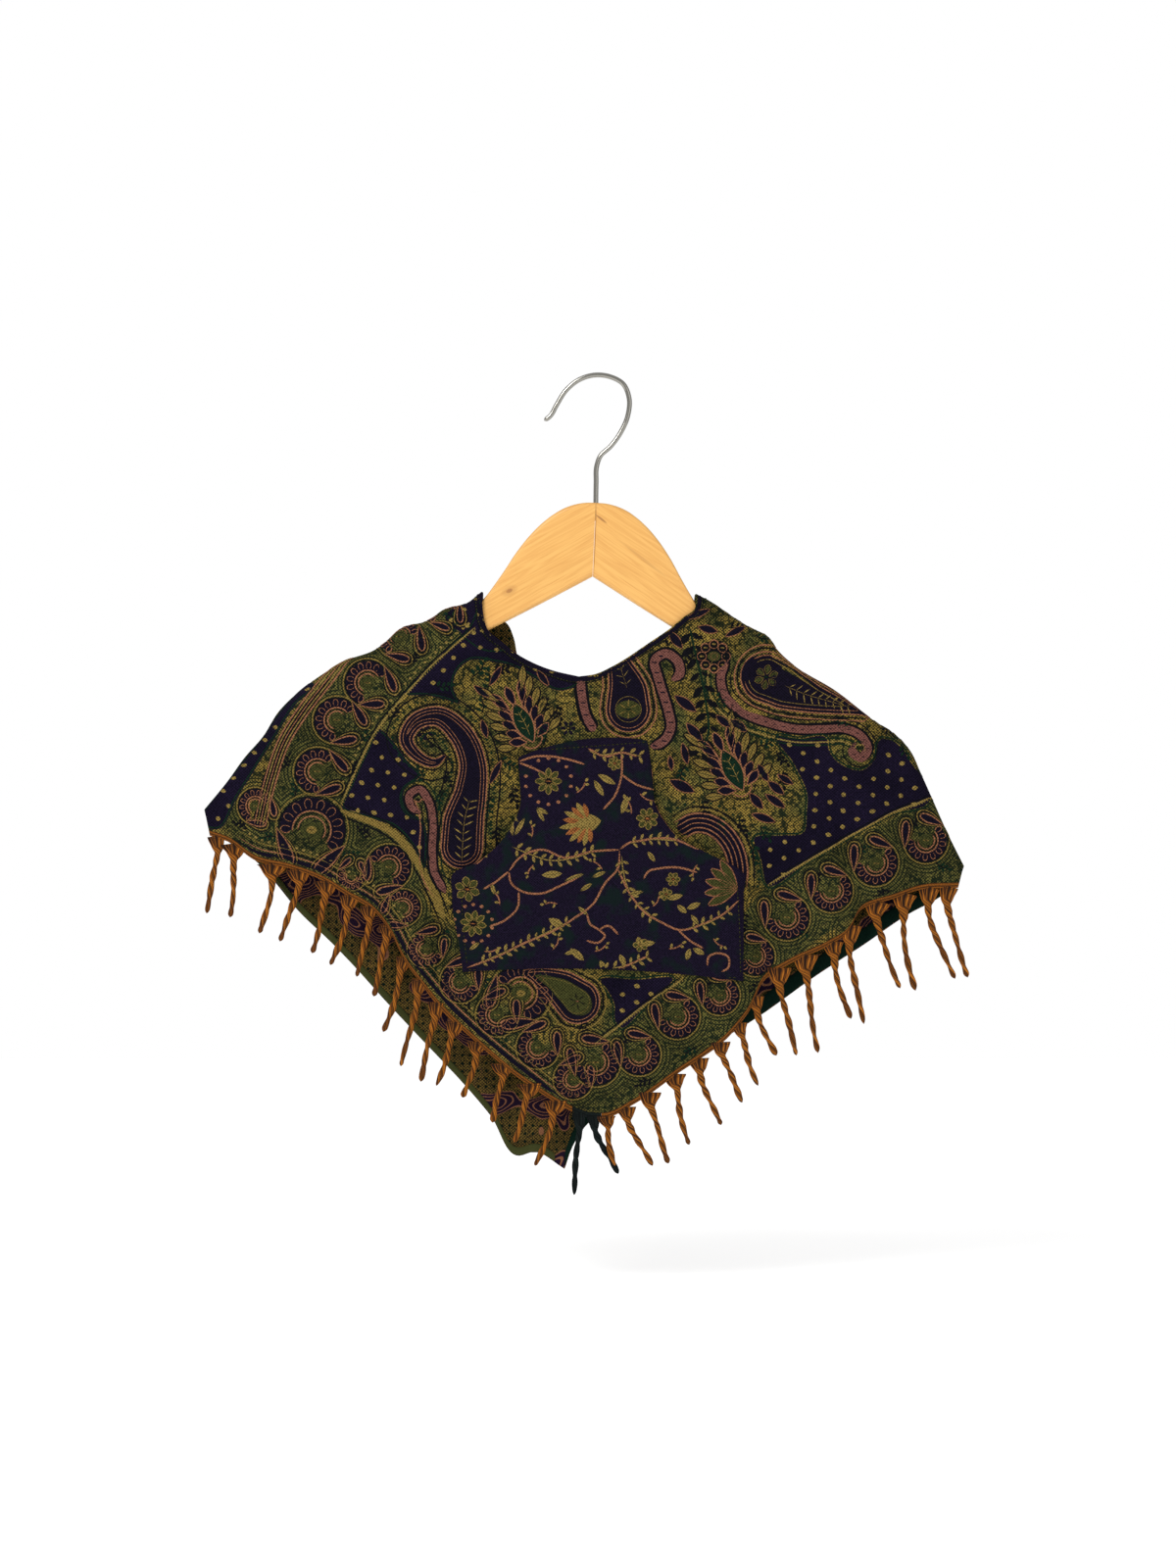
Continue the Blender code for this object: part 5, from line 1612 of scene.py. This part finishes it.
    def draw_neck(self) -> None:
        """The hanging paisley below the neck with its rose bands, and the branch beside it."""
        for path in (NECK_BAND, LEFT_NECK_BAND):
            self.line(path, 12.0, DARK, 0.24, 1.8, 0.06)
            self.line(path, 9.0, ROSE, 0.38, 1.8, 0.06)
        self.beads(NECK_BAND[3:], 7.5, 0.0, 1.9, NAVY, 0.52)
        self.beads(LEFT_NECK_BAND, 8.0, 0.0, 1.9, NAVY, 0.52)
        self.paisley(NECK_PAISLEY, NECK_RADII, (
            (-4.2, 1.2, PINK, 0.42), (-2.0, 1.3, DARK, 0.34), (0.0, 0, NAVY, 0.30),
            (0.5, 1.3, PINK, 0.48), (3.2, 1.2, PINK, 0.48),
        ))
        self.disc(NECK_PAISLEY[0], 9.6, OLIVE, 0.36)
        self.ring(NECK_PAISLEY[0], 9.8, 1.1, GOLD, 0.48)
        self.flower(Spot(*NECK_PAISLEY[0], 90, 7.4), 6, GOLD, None, GREEN, 0.5)
        self.vine(NECK_PAISLEY[1:], 1.0, GOLD, 5.5, 5.4, STRAW)
        self.gear(GEAR, 8)
        self.flower(SMALL_FLOWER, 6, NAVY, None, GOLD)
        self.vine(BRANCH, 1.7, GREEN, 9.5, 10.5, DARK)

    def draw_low(self) -> None:
        """The ringed paisley under the pouch and the nested arcs beside the pouch's mouth."""
        self.paisley(LOW_PAISLEY, LOW_RADII, (
            (-4.6, 1.2, GOLD, 0.36), (-2.4, 1.2, DARK, 0.32), (0.0, 0, NAVY, 0.26),
            (0.4, 1.3, PINK, 0.46), (3.0, 1.2, PINK, 0.46), (5.2, 0, OLIVE, 0.36),
            (6.6, 1.2, DARK, 0.46), (8.2, 1.1, GOLD, 0.46),
        ))
        self.vine(LOW_PAISLEY[1:], 1.0, DARK, 6.0, 5.0, GREEN)
        self.flower(Spot(*LOW_PAISLEY[0], 40, 6.5), 6, DARK, None, PINK, 0.5)
        self.line(offset_line(ARC_PAISLEY, -8.0), 19.0, NAVY, 0.26, 1.8, 0.1)
        for offset in (-1.0, -4.6, -8.2, -11.8, -15.2):
            self.line(offset_line(ARC_PAISLEY, offset), 1.4, PINK, 0.46)
        self.line(offset_line(ARC_PAISLEY, 2.2), 1.4, GOLD, 0.36)
        self.line(offset_line(ARC_PAISLEY, 4.2), 1.2, DARK, 0.32)
        self.beads(ARC_PAISLEY, 5.2, 7.6, 1.2, GREEN, 0.34)

    def draw_seams(self) -> None:
        """The turned hem at the neck: a dark edge with its row of stitches."""
        edge = np.array([*FRONT_NECK_LEFT, *FRONT_NECK_RIGHT[1:]], float)[:, :2]
        self.line(offset_line(edge, -2.6, 90), 3.2, NAVY, 0.8, 1.8, 0.0)
        self.line(offset_line(edge, -5.2, 90), 0.9, DARK, 0.3, 1.8, 0.0)
        self.stitches(offset_line(edge, -4.4, 90), 2.4, 1.7, OLIVE)

    def draw(self) -> None:
        """Everything on the ground between the paisleys."""
        self.draw_fields()
        self.draw_borders()
        for k, spot in enumerate(TWIGS):
            self.twig(spot, 5, DARK, (GREEN, DARK)[k % 2])
        self.draw_curled_paisley()
        self.draw_right_paisley()
        self.draw_neck()
        self.draw_low()
        for spot in CRESTS:
            self.crest(spot)
        for left, low, right, high, width in LEAVES:
            self.leaf((left, low), (right, high), width, NAVY, 0.32, PINK, 0.8)
        self.draw_seams()


class VineFigures(Figures):
    """The vines, buds, flowers and seams of the pouch."""

    def draw(self) -> None:
        """The vines of the pouch: stems, small leaves, flowers, tulip and dotted rings."""
        for path in POUCH_STEMS:
            self.line(path, 1.6, PINK, 0.42, 1.8, 0.06)
        for path in POUCH_LEAFY:
            self.vine(path, 1.0, STRAW, 6.2, 5.4, STRAW)
        for left, low, right, high, width in POUCH_LEAVES:
            self.leaf((left, low), (right, high), width, STRAW, 0.34)
            self.line([(left, low), (right, high)], 1.0, GREEN, 0.46)
        for *place, petals in POUCH_FLOWERS:
            self.flower(Spot(*place), petals, OLIVE, STRAW, RUST)
        for path in POUCH_SEAMS:
            self.stitches(smooth_path(path, np.linspace(0, 1, 40)), 3.2, 2.2, OLIVE)
        for spot in POUCH_BUDS:
            self.twig(spot, 2, PINK, STRAW)
        for spot in DOT_RINGS:
            for angle in np.linspace(0, 2 * math.pi, 15)[:-1]:
                self.disc(spot.at((math.cos(angle), math.sin(angle))), 1.5, PINK, 0.36)
        for k, lean in enumerate(np.linspace(-1.5, 1.5, 11)):
            way = np.array([math.sin(lean), math.cos(lean)])
            reach = 1.0 - 0.28 * abs(lean) / 1.5 + 0.08 * (k % 2)
            self.leaf(
                FEATHER_FLOWER.at(0.05 * way), FEATHER_FLOWER.at(reach * way), 5.0,
                (RUST, STRAW)[k % 2], 0.34, None, 0.9, 0.6,
            )
        heart = (FEATHER_FLOWER.at((0.0, -0.45)), FEATHER_FLOWER.at((0.0, 0.55)))
        self.leaf(*heart, 15.0, STRAW, 0.42)
        for k in range(4):
            for hand in (-1, 1):
                vein = [(0, 0.22 * k - 0.3), (0.2 * hand, 0.22 * k - 0.12)]
                self.line(FEATHER_FLOWER.at(vein), 1.0, GREEN, 0.54)
        for lean in (-0.75, -0.38, 0.0, 0.38, 0.75):
            way = np.array([math.sin(lean), math.cos(lean)])
            self.leaf(TULIP.at(0.1 * way), TULIP.at(2.0 * way), 7.0, OLIVE, 0.32, PINK, 1.0, 0.55)


# ---- finishes ----------------------------------------------------------------------------

Socket = bpy.types.NodeSocket


class Graph:
    """Builds one Principled material out of a few kinds of node."""

    def __init__(self, name: str, roughness: float, specular: float,
                 metallic: float = 0.0) -> None:
        self.material = bpy.data.materials.new(name)
        self.material.use_nodes = True
        self.tree = self.material.node_tree
        self.shader = self.tree.nodes["Principled BSDF"]
        self.shader.inputs["Roughness"].default_value = roughness
        self.shader.inputs["Specular IOR Level"].default_value = specular
        self.shader.inputs["Metallic"].default_value = metallic

    def node(self, kind: str, **settings: object) -> bpy.types.Node:
        """A new node with some of its settings."""
        made = self.tree.nodes.new(kind)
        for key, value in settings.items():
            setattr(made, key, value)
        return made

    def plug(self, socket: Socket, value: object) -> None:
        """Link a socket, or set a plain number or colour."""
        if isinstance(value, bpy.types.NodeSocket):
            self.tree.links.new(value, socket)
        elif isinstance(value, tuple) and socket.type == "RGBA":
            socket.default_value = (*value, 1.0)
        else:
            socket.default_value = value

    def math(self, operation: str, a: object, b: object = 0.0, c: object = 0.0) -> Socket:
        """A math node's result."""
        made = self.node("ShaderNodeMath", operation=operation)
        for socket, value in zip(made.inputs, (a, b, c)):
            self.plug(socket, value)
        return made.outputs[0]

    def times(self, a: object, b: object) -> Socket:
        """The product of two values."""
        return self.math("MULTIPLY", a, b)

    def between(self, value: object, low: float, high: float) -> Socket:
        """0 at low, 1 at high and straight between them."""
        made = self.node("ShaderNodeMapRange", clamp=True)
        self.plug(made.inputs["Value"], value)
        made.inputs["From Min"].default_value = low
        made.inputs["From Max"].default_value = high
        return made.outputs[0]

    def mix(self, share: object, a: object, b: object, blend: str = "MIX") -> Socket:
        """Two colours mixed."""
        made = self.node("ShaderNodeMix", data_type="RGBA", blend_type=blend)
        self.plug(made.inputs[0], share)
        self.plug(made.inputs[6], a)
        self.plug(made.inputs[7], b)
        return made.outputs[2]

    def read(self, name: str, output: str = "Fac") -> Socket:
        """A point attribute."""
        return self.node("ShaderNodeAttribute", attribute_name=name).outputs[output]

    def millimetres(self, stretch: tuple = (1.0, 1.0, 1.0), name: str = "") -> Socket:
        """Object coordinates, or a vector attribute, times 1000 and stretched."""
        made = self.node("ShaderNodeVectorMath", operation="MULTIPLY")
        if name:
            scale, source = 1.0, self.read(name, "Vector")
        else:
            scale, source = 1 / MM, self.node("ShaderNodeTexCoord").outputs["Object"]
        self.plug(made.inputs[0], source)
        made.inputs[1].default_value = tuple(scale * s for s in stretch)
        return made.outputs[0]

    def noise(self, vector: Socket, size: float, detail: float = 2.0) -> Socket:
        """Noise whose lumps are about the given size in millimetres."""
        made = self.node("ShaderNodeTexNoise")
        self.plug(made.inputs["Vector"], vector)
        made.inputs["Scale"].default_value = 1.0 / size
        made.inputs["Detail"].default_value = detail
        return made.outputs["Fac"]

    def parts(self, vector: Socket) -> tuple[Socket, Socket, Socket]:
        """X, Y and Z of a vector."""
        made = self.node("ShaderNodeSeparateXYZ")
        self.plug(made.inputs[0], vector)
        return tuple(made.outputs)

    def weave(self, period: float) -> Socket:
        """Brightness of the threads, 0 to 1: a diagonal check broken up by noise."""
        place = self.millimetres()
        x, _, z = self.parts(place)
        turn = 2 * math.pi / period
        warp = self.math("SINE", self.times(x, turn))
        weft = self.math("SINE", self.times(z, turn * 1.13))
        check = self.times(warp, weft)
        grain = self.noise(place, 1.1, 1.0)
        grain = self.math("MULTIPLY_ADD", grain, 1.9, -0.45)
        return self.between(self.math("MULTIPLY_ADD", check, 0.50, grain), 0.20, 1.0)

    def bump(self, height: Socket, distance: float) -> None:
        """Bump of the whole surface; distance in millimetres."""
        made = self.node("ShaderNodeBump")
        made.inputs["Distance"].default_value = distance * MM
        self.plug(made.inputs["Height"], height)
        self.plug(self.shader.inputs["Normal"], made.outputs[0])

    def colour(self, value: object) -> None:
        """Set the base colour."""
        self.plug(self.shader.inputs["Base Color"], value)


@dataclass(frozen=True)
class ClothFinish:
    """Jacquard cloth: gold ground, greener borders, navy fields, and its dotted reverse."""

    gold_dark: Colour = (0.007, 0.007, 0.006)
    gold_light: Colour = (0.330, 0.222, 0.040)
    olive: Colour = (0.082, 0.100, 0.026)
    line: Colour = (0.003, 0.009, 0.005)
    navy_dark: Colour = (0.0030, 0.0020, 0.0070)
    navy_light: Colour = (0.0110, 0.0070, 0.0220)
    reverse_light: Colour = (0.170, 0.108, 0.022)
    purple: Colour = (0.014, 0.006, 0.018)
    thread: float = 2.5
    echo_pitch: float = 2.9

    def vermicelli(self, graph: Graph, place: Socket, size: float, width: float) -> Socket:
        """1 on winding thin lines: where a noise passes its middle."""
        middle = graph.math("ABSOLUTE", graph.math("SUBTRACT", graph.noise(place, size, 1.0), 0.5))
        return graph.between(middle, width, width * 0.45)

    def build(self) -> bpy.types.Material:
        """Make the material."""
        graph = Graph("patterned cloth", 0.9, 0.05)
        flat = graph.millimetres((1.0, 1.0, 1.0), "cloth")
        weave = graph.weave(self.thread)
        navy_field = graph.between(graph.read("navy"), 0.25, -0.25)
        border = graph.between(graph.read("border"), 1.0, -1.0)
        gold = graph.mix(weave, self.gold_dark, self.gold_light)
        green = graph.mix(weave, self.gold_dark, self.olive)
        patch = graph.between(graph.noise(flat, 26.0, 2.0), 0.44, 0.62)
        greener = graph.math("MAXIMUM", patch, graph.times(border, 0.95))
        gold = graph.mix(graph.times(greener, 0.8), gold, green)
        echo = graph.read("echo")
        wave = graph.math("SINE", graph.times(echo, 2 * math.pi / self.echo_pitch))
        near = graph.times(graph.between(echo, 8.5, 6.5), graph.between(echo, 0.0, 0.6))
        echoes = graph.times(graph.between(wave, 0.1, 0.6), near)
        winding = graph.math(
            "MAXIMUM", self.vermicelli(graph, flat, 7.0, 0.050),
            graph.times(self.vermicelli(graph, flat, 5.0, 0.040), border),
        )
        winding = graph.times(winding, graph.math("SUBTRACT", 1.0, near))
        lines = graph.math("MAXIMUM", echoes, winding)
        gold = graph.mix(graph.times(lines, 0.9), gold, self.line)
        navy = graph.mix(weave, self.navy_dark, self.navy_light)
        face = graph.mix(navy_field, gold, navy)
        back = graph.mix(weave, self.gold_dark, self.reverse_light)
        x, z, _ = graph.parts(flat)
        turned = graph.math("ADD", x, z)
        other = graph.math("SUBTRACT", x, z)
        spots = graph.times(graph.math("SINE", graph.times(turned, 0.52)),
                           graph.math("SINE", graph.times(other, 0.52)))
        back = graph.mix(graph.between(spots, 0.62, 0.72), back, self.line)
        blotch = graph.noise(flat, 34.0, 1.0)
        back = graph.mix(graph.between(blotch, 0.53, 0.545), back, self.purple)
        ring = graph.math("PINGPONG", graph.times(blotch, 100.0), 2.0)
        rings = graph.times(graph.between(ring, 1.35, 1.6), graph.between(blotch, 0.5, 0.52))
        back = graph.mix(graph.times(rings, 0.8), back, PINK.value)
        tone = graph.between(graph.noise(flat, 38.0, 2.0), 0.30, 0.62)
        tone = graph.mix(tone, (0.55, 0.57, 0.60), (1.0, 1.0, 1.0))
        cloth = graph.mix(graph.read("reverse"), face, back)
        graph.colour(graph.mix(1.0, cloth, tone, "MULTIPLY"))
        graph.bump(graph.math("ADD", weave, graph.noise(flat, 5.0, 2.0)), 0.22)
        return graph.material


@dataclass(frozen=True)
class ThreadFinish:
    """The figure threads: their own colour, broken up by the weave."""

    thread: float = 2.5
    dim: float = 0.30
    bright: float = 1.55

    def build(self) -> bpy.types.Material:
        """Make the material."""
        graph = Graph("figure threads", 0.85, 0.06)
        weave = graph.weave(self.thread)
        tint = graph.read("tint", "Color")
        shade = graph.math("MULTIPLY_ADD", weave, self.bright - self.dim, self.dim)
        grey = graph.mix(shade, (0.0, 0.0, 0.0), (1.0, 1.0, 1.0))
        graph.colour(graph.mix(1.0, tint, grey, "MULTIPLY"))
        graph.bump(weave, 0.15)
        return graph.material


@dataclass(frozen=True)
class PouchFinish:
    """Dark purple ground of the pouch with patches of green."""

    dark: Colour = (0.0030, 0.0020, 0.0065)
    light: Colour = (0.0110, 0.0070, 0.0205)
    green: Colour = (0.0030, 0.0105, 0.0075)

    def build(self) -> bpy.types.Material:
        """Make the material."""
        graph = Graph("dark vine cloth", 0.9, 0.05)
        place = graph.millimetres()
        weave = graph.weave(2.1)
        ground = graph.mix(weave, self.dark, self.light)
        patch = graph.between(graph.noise(place, 15.0, 3.0), 0.52, 0.66)
        ground = graph.mix(graph.times(patch, 0.7), ground, self.green)
        graph.colour(ground)
        graph.bump(graph.math("ADD", weave, graph.noise(place, 5.0, 2.0)), 0.22)
        return graph.material


@dataclass(frozen=True)
class YarnFinish:
    """Twisted yarn: streaked plies, painted shade in their grooves, stripes along the strip."""

    name: str
    light: Colour
    middle: Colour
    dark: Colour

    def build(self) -> bpy.types.Material:
        """Make the material."""
        graph = Graph(self.name, 0.85, 0.08)
        cosine, sine, along = graph.parts(graph.read("yarn", "Vector"))
        strand = graph.node("ShaderNodeCombineXYZ")
        for socket, value, scale in zip(strand.inputs, (cosine, sine, along), (5.5, 5.5, 0.05)):
            graph.plug(socket, graph.times(value, scale))
        streak = graph.noise(strand.outputs[0], 1.0, 3.0)
        # painted shade: the yarn darkens in the grooves where the two plies meet
        ply_groove_shade = graph.math("ABSOLUTE", cosine)
        colour = graph.mix(graph.between(streak, 0.50, 0.64), self.middle, self.light)
        colour = graph.mix(graph.between(streak, 0.50, 0.41), colour, self.dark)
        colour = graph.mix(graph.between(ply_groove_shade, 0.42, 0.05), colour, self.dark)
        strip = graph.between(along, 1.8, 1.4)
        level = graph.mix(strip, along, graph.times(sine, 2.2))
        stripe = graph.math("SINE", graph.times(level, 2.9))
        striped = graph.times(graph.between(stripe, 0.15, 0.5), graph.between(along, 7.5, 5.5))
        colour = graph.mix(graph.times(striped, 0.8), colour, self.dark)
        graph.colour(colour)
        graph.bump(streak, 0.5)
        return graph.material


# across, up, slope in degrees, half length, half width, strength: a knot and its ring, two dark
# streaks and the line of glue between the arms
PINE_MARKS = (
    (-63, -163.5, 25, 3.2, 1.8, 0.7), (-63, -163.5, 25, 7.5, 4.5, 0.25),
    (7, -108.5, -38, 6.5, 1, 0.8), (40, -140, -38, 26, 1.4, 0.25),
    (2.45, -124.7, 87.6, 34, 0.45, 0.8),
)


@dataclass(frozen=True)
class PineFinish:
    """Varnished pine with fine grain along the board and one knot."""

    pale: Colour = (0.740, 0.410, 0.118)
    deep: Colour = (0.560, 0.250, 0.058)
    knot: Colour = (0.300, 0.120, 0.035)

    def mark(
        self, graph: Graph, across: float, up: float, slope: float, length: float, width: float,
    ) -> Socket:
        """1 in the middle of a long oval on the board's face and 0 outside it."""
        x, _, z = graph.parts(graph.millimetres())
        x, z = graph.math("SUBTRACT", x, across), graph.math("SUBTRACT", z, up)
        cosine, sine = math.cos(math.radians(slope)), math.sin(math.radians(slope))
        along = graph.math("MULTIPLY_ADD", x, cosine / length, graph.times(z, sine / length))
        aside = graph.math("MULTIPLY_ADD", z, cosine / width, graph.times(x, -sine / width))
        square = graph.math("MULTIPLY_ADD", along, along, graph.times(aside, aside))
        return graph.between(square, 1.0, 0.3)

    def build(self) -> bpy.types.Material:
        """Make the material."""
        graph = Graph("pine", 0.38, 0.35)
        board = graph.millimetres((0.045, 0.5, 1.0), "wood")
        waves = graph.noise(board, 6.0, 3.0)
        rings = graph.math("PINGPONG", graph.times(waves, 14.0), 1.0)
        colour = graph.mix(graph.between(rings, 0.0, 1.0), self.pale, self.deep)
        colour = graph.mix(0.55, colour, self.pale)
        fine = graph.noise(graph.millimetres((0.06, 1.0, 3.0), "wood"), 2.0, 2.0)
        colour = graph.mix(graph.between(fine, 0.58, 0.78), colour, self.deep)
        for across, up, slope, length, width, depth in PINE_MARKS:
            mark = self.mark(graph, across, up, slope, length, width)
            colour = graph.mix(graph.times(mark, depth), colour, self.knot)
        graph.colour(colour)
        graph.bump(fine, 0.05)
        return graph.material


# ---- whole garment -------------------------------------------------------------------

def echo_distance(places: Array) -> Array:
    """Distance of places on the flat cloth from the nearest border palmette or drop."""
    nearest = np.full(len(places), 1e3)
    for spot in BORDER_PALMETTES + BACK_PALMETTES:
        centre = np.array([spot.across, spot.up])
        round_it = np.linalg.norm(places - centre, axis=1) - 1.22 * spot.size
        nearest = np.minimum(nearest, round_it)
        if spot in BACK_PALMETTES:
            continue
        for head, tip, radius in PALMETTE_DROPS:
            head, tip = spot.at(head), spot.at(tip)
            along = np.clip((places - tip) @ (head - tip) / ((head - tip) @ (head - tip)), 0, 1)
            gap = np.linalg.norm(places - (tip + along[:, None] * (head - tip)), axis=1)
            wide = 1.0 + (radius * spot.size + 3.0) * along
            nearest = np.minimum(nearest, gap - wide)
    return nearest


@dataclass(frozen=True)
class Cloth:
    """One panel made: its object, middle surface, outward normals and map."""

    made: bpy.types.Object
    points: Array
    normals: Array
    chart: ClothMap


@dataclass(frozen=True)
class PanelBuilder:
    """Makes a panel's cloth: how fine its grid is and which node it stands for."""

    panel: Panel
    node: str
    fine: int
    rounding: int
    hanging: int

    def build(self, material: bpy.types.Material) -> Cloth:
        """Make the cloth with the pattern's own coordinates and distances on it."""
        panel = self.panel
        points, normals, cloth = panel.surface(self.fine, self.rounding, self.hanging)
        outer = points + normals * CLOTH / 2
        places = cloth[..., :2].reshape(-1, 2) * np.array([-panel.side, 1])
        fields = [(corners, 90) for corners in NAVY_FIELDS]
        if panel.side > 0:
            fields.append((CENTRE_FIELD, 90))
        borders = [(corners, 120) for corners in BORDER_FIELDS]
        navy, border = (
            np.minimum.reduce([polygon_distance(closed_curve(*area), places) for area in areas])
            for areas in (fields, borders)
        )
        shape = cloth.shape[:2]
        piece = Piece(panel.name)
        add_wall(
            piece, outer, points - normals * CLOTH / 2, panel.side, (3, 2), cloth=cloth,
            navy=navy.reshape(shape), border=border.reshape(shape),
            echo=echo_distance(places).reshape(shape),
        )
        made = wear(piece.build(material), "cloth", self.node)
        return Cloth(made, points, normals, ClothMap(cloth[..., :2], outer, normals))


def plain(name: str, colour: Colour, roughness: float, metallic: float = 0.0) -> Graph:
    """A material of one colour."""
    graph = Graph(name, roughness, 0.5 if metallic else 0.06, metallic)
    graph.colour(colour)
    return graph


class Lamp(NamedTuple):
    """A square soft light that looks at the middle of the garment."""

    name: str
    place: Colour
    power: float
    size: float


@dataclass(frozen=True)
class Studio:
    """White world, pale floor, two soft lights and the camera; sizes in metres."""

    fill: float = 0.6       # strength of the world as a light; the camera sees it as 1
    half: float = 2.4
    level: float = -0.70
    aim: tuple = (0, 0, -0.3)
    lamps: tuple = (
        Lamp("key", (-1.2, -1.7, 1.4), 42, 1.0), Lamp("fill", (1.6, -2.0, 0.3), 9, 1.6),
    )
    lens: float = 85
    camera: tuple = (-0.003, -2.833, -0.311)

    def build_world(self) -> None:
        """A white world that the camera sees brighter than it lights."""
        world = bpy.data.worlds.new("studio")
        world.use_nodes = True
        tree = world.node_tree
        background = tree.nodes["Background"]
        background.inputs["Color"].default_value = (1.0, 1.0, 1.0, 1.0)
        seen = tree.nodes.new("ShaderNodeMapRange")
        seen.inputs["To Min"].default_value = self.fill
        path = tree.nodes.new("ShaderNodeLightPath")
        tree.links.new(path.outputs["Is Camera Ray"], seen.inputs["Value"])
        tree.links.new(seen.outputs[0], background.inputs["Strength"])
        bpy.context.scene.world = world

    def build_floor(self) -> None:
        """A pale floor that glows as much as the world's light falls short."""
        mesh = bpy.data.meshes.new("floor")
        corners = [(-1, -1), (1, -1), (1, 1), (-1, 1)]
        mesh.from_pydata(
            [(x * self.half, y * self.half, self.level) for x, y in corners], [], [(0, 1, 2, 3)],
        )
        white = plain("pale floor", (0.95, 0.95, 0.95), 0.9)
        white.shader.inputs["Emission Color"].default_value = (1.0, 1.0, 1.0, 1.0)
        white.shader.inputs["Emission Strength"].default_value = 1.0 - self.fill
        mesh.materials.append(white.material)
        floor = bpy.data.objects.new("floor", mesh)
        bpy.context.scene.collection.objects.link(floor)

    def build(self) -> None:
        """Make the world, the floor, the lights and the camera."""
        scene = bpy.context.scene
        scene.view_settings.view_transform = "Standard"
        self.build_world()
        self.build_floor()
        for lamp in self.lamps:
            data = bpy.data.lights.new(lamp.name, "AREA")
            data.energy = lamp.power
            data.size = lamp.size
            light = bpy.data.objects.new(lamp.name, data)
            light.location = lamp.place
            way = Vector(self.aim) - Vector(lamp.place)
            light.rotation_euler = way.to_track_quat("-Z", "Y").to_euler()
            scene.collection.objects.link(light)
        camera = bpy.data.objects.new("camera", bpy.data.cameras.new("camera"))
        camera.data.lens = self.lens
        camera.location = self.camera
        camera.rotation_euler = (math.pi / 2, 0, 0)
        scene.collection.objects.link(camera)
        scene.camera = camera


def main() -> None:
    """Build the garment and its hanger, then the studio, and report each piece."""
    logging.basicConfig(level=logging.INFO, format="%(name)s: %(message)s")
    patterned = ClothFinish().build()
    threads = ThreadFinish().build()
    dark = PouchFinish().build()
    orange = YarnFinish(
        "orange fringe", (0.44, 0.150, 0.014), (0.17, 0.052, 0.008), (0.016, 0.007, 0.004),
    ).build()
    black = YarnFinish(
        "dark tassels", (0.010, 0.016, 0.014), (0.005, 0.008, 0.008), (0.002, 0.003, 0.003),
    ).build()
    olive = plain("olive turned hem", (0.040, 0.044, 0.013), 0.9).material
    green = plain("dark green tape", (0.0025, 0.0125, 0.0080), 0.9).material
    pine = PineFinish().build()
    chrome = plain("chromed wire", (0.30, 0.29, 0.26), 0.20, 1.0).material

    back_rounding = 8
    front = PanelBuilder(FRONT, "front_panel", 7, 10, 212).build(patterned)
    back = PanelBuilder(BACK, "back_panel", 6, back_rounding, 200).build(patterned)
    outer = front.points + front.normals * CLOTH / 2
    pouch, pouch_chart = Pouch().build(ClothMap(outer[..., [0, 2]], outer, front.normals), dark)
    ground, back_ground, vines = GroundFigures(11), GroundFigures(11, 1.6), VineFigures(5)
    for figures in (ground, back_ground, vines):
        figures.draw()
    back_ground.draw_back_border()
    front_figures = ground.build("front_figures", "cloth", front.chart, threads)
    pouch_vines = vines.build("pouch_vines", "pouch_cloth", pouch_chart, threads)
    back_figures = back_ground.build("back_figures", "cloth", back.chart, threads, True)
    back_vines = vines.build("back_vines", "cloth", back.chart, threads, True)
    last = back.points.shape[1] - 4
    middle = back.points.shape[1] // 2
    bands = [band.build(back.points, back.normals, back_rounding, finish) for band, finish in (
        (Band("olive_hem", "back_hem_band_left", "olive_hem", 6.5, 3, middle - 3), olive),
        (Band("green_tape", "back_hem_band_right", "green_tape", 14.0, middle, last), green),
    )]
    hang = unit(front.points[-1] - front.points[-3])
    hem = HemLine(front.points[-1], front.normals[-1], hang)
    fringes = [fringe.build(hem, finish) for fringe, finish in (
        (Fringe("tassels_left", "fringe_left", "fringe", (-293.0, -15.2), LEFT_TASSELS), orange),
        (Fringe("tassels_tip", "fringe_tip", "dark_fringe", (-15.0, 7.0), TIP_TASSELS), black),
        (Fringe("tassels_right", "fringe_right", "fringe", (7.2, 281.0), RIGHT_TASSELS), orange),
    )]
    hanger = Hanger()
    left_arm = hanger.arm("pine_arm_left", "hanger_arm_left", -1, pine)
    right_arm = hanger.arm("pine_arm_right", "hanger_arm_right", 1, pine)
    hook = hanger.hook(chrome)
    Studio().build()

    arms = [left_arm, right_arm]
    for piece in (
        front.made, back.made, pouch, front_figures, pouch_vines, back_figures, back_vines,
        *bands, *fringes, *arms, hook,
    ):
        log.info("%s: %d points", piece.name, len(piece.data.vertices))


if __name__ == "__main__":
    main()
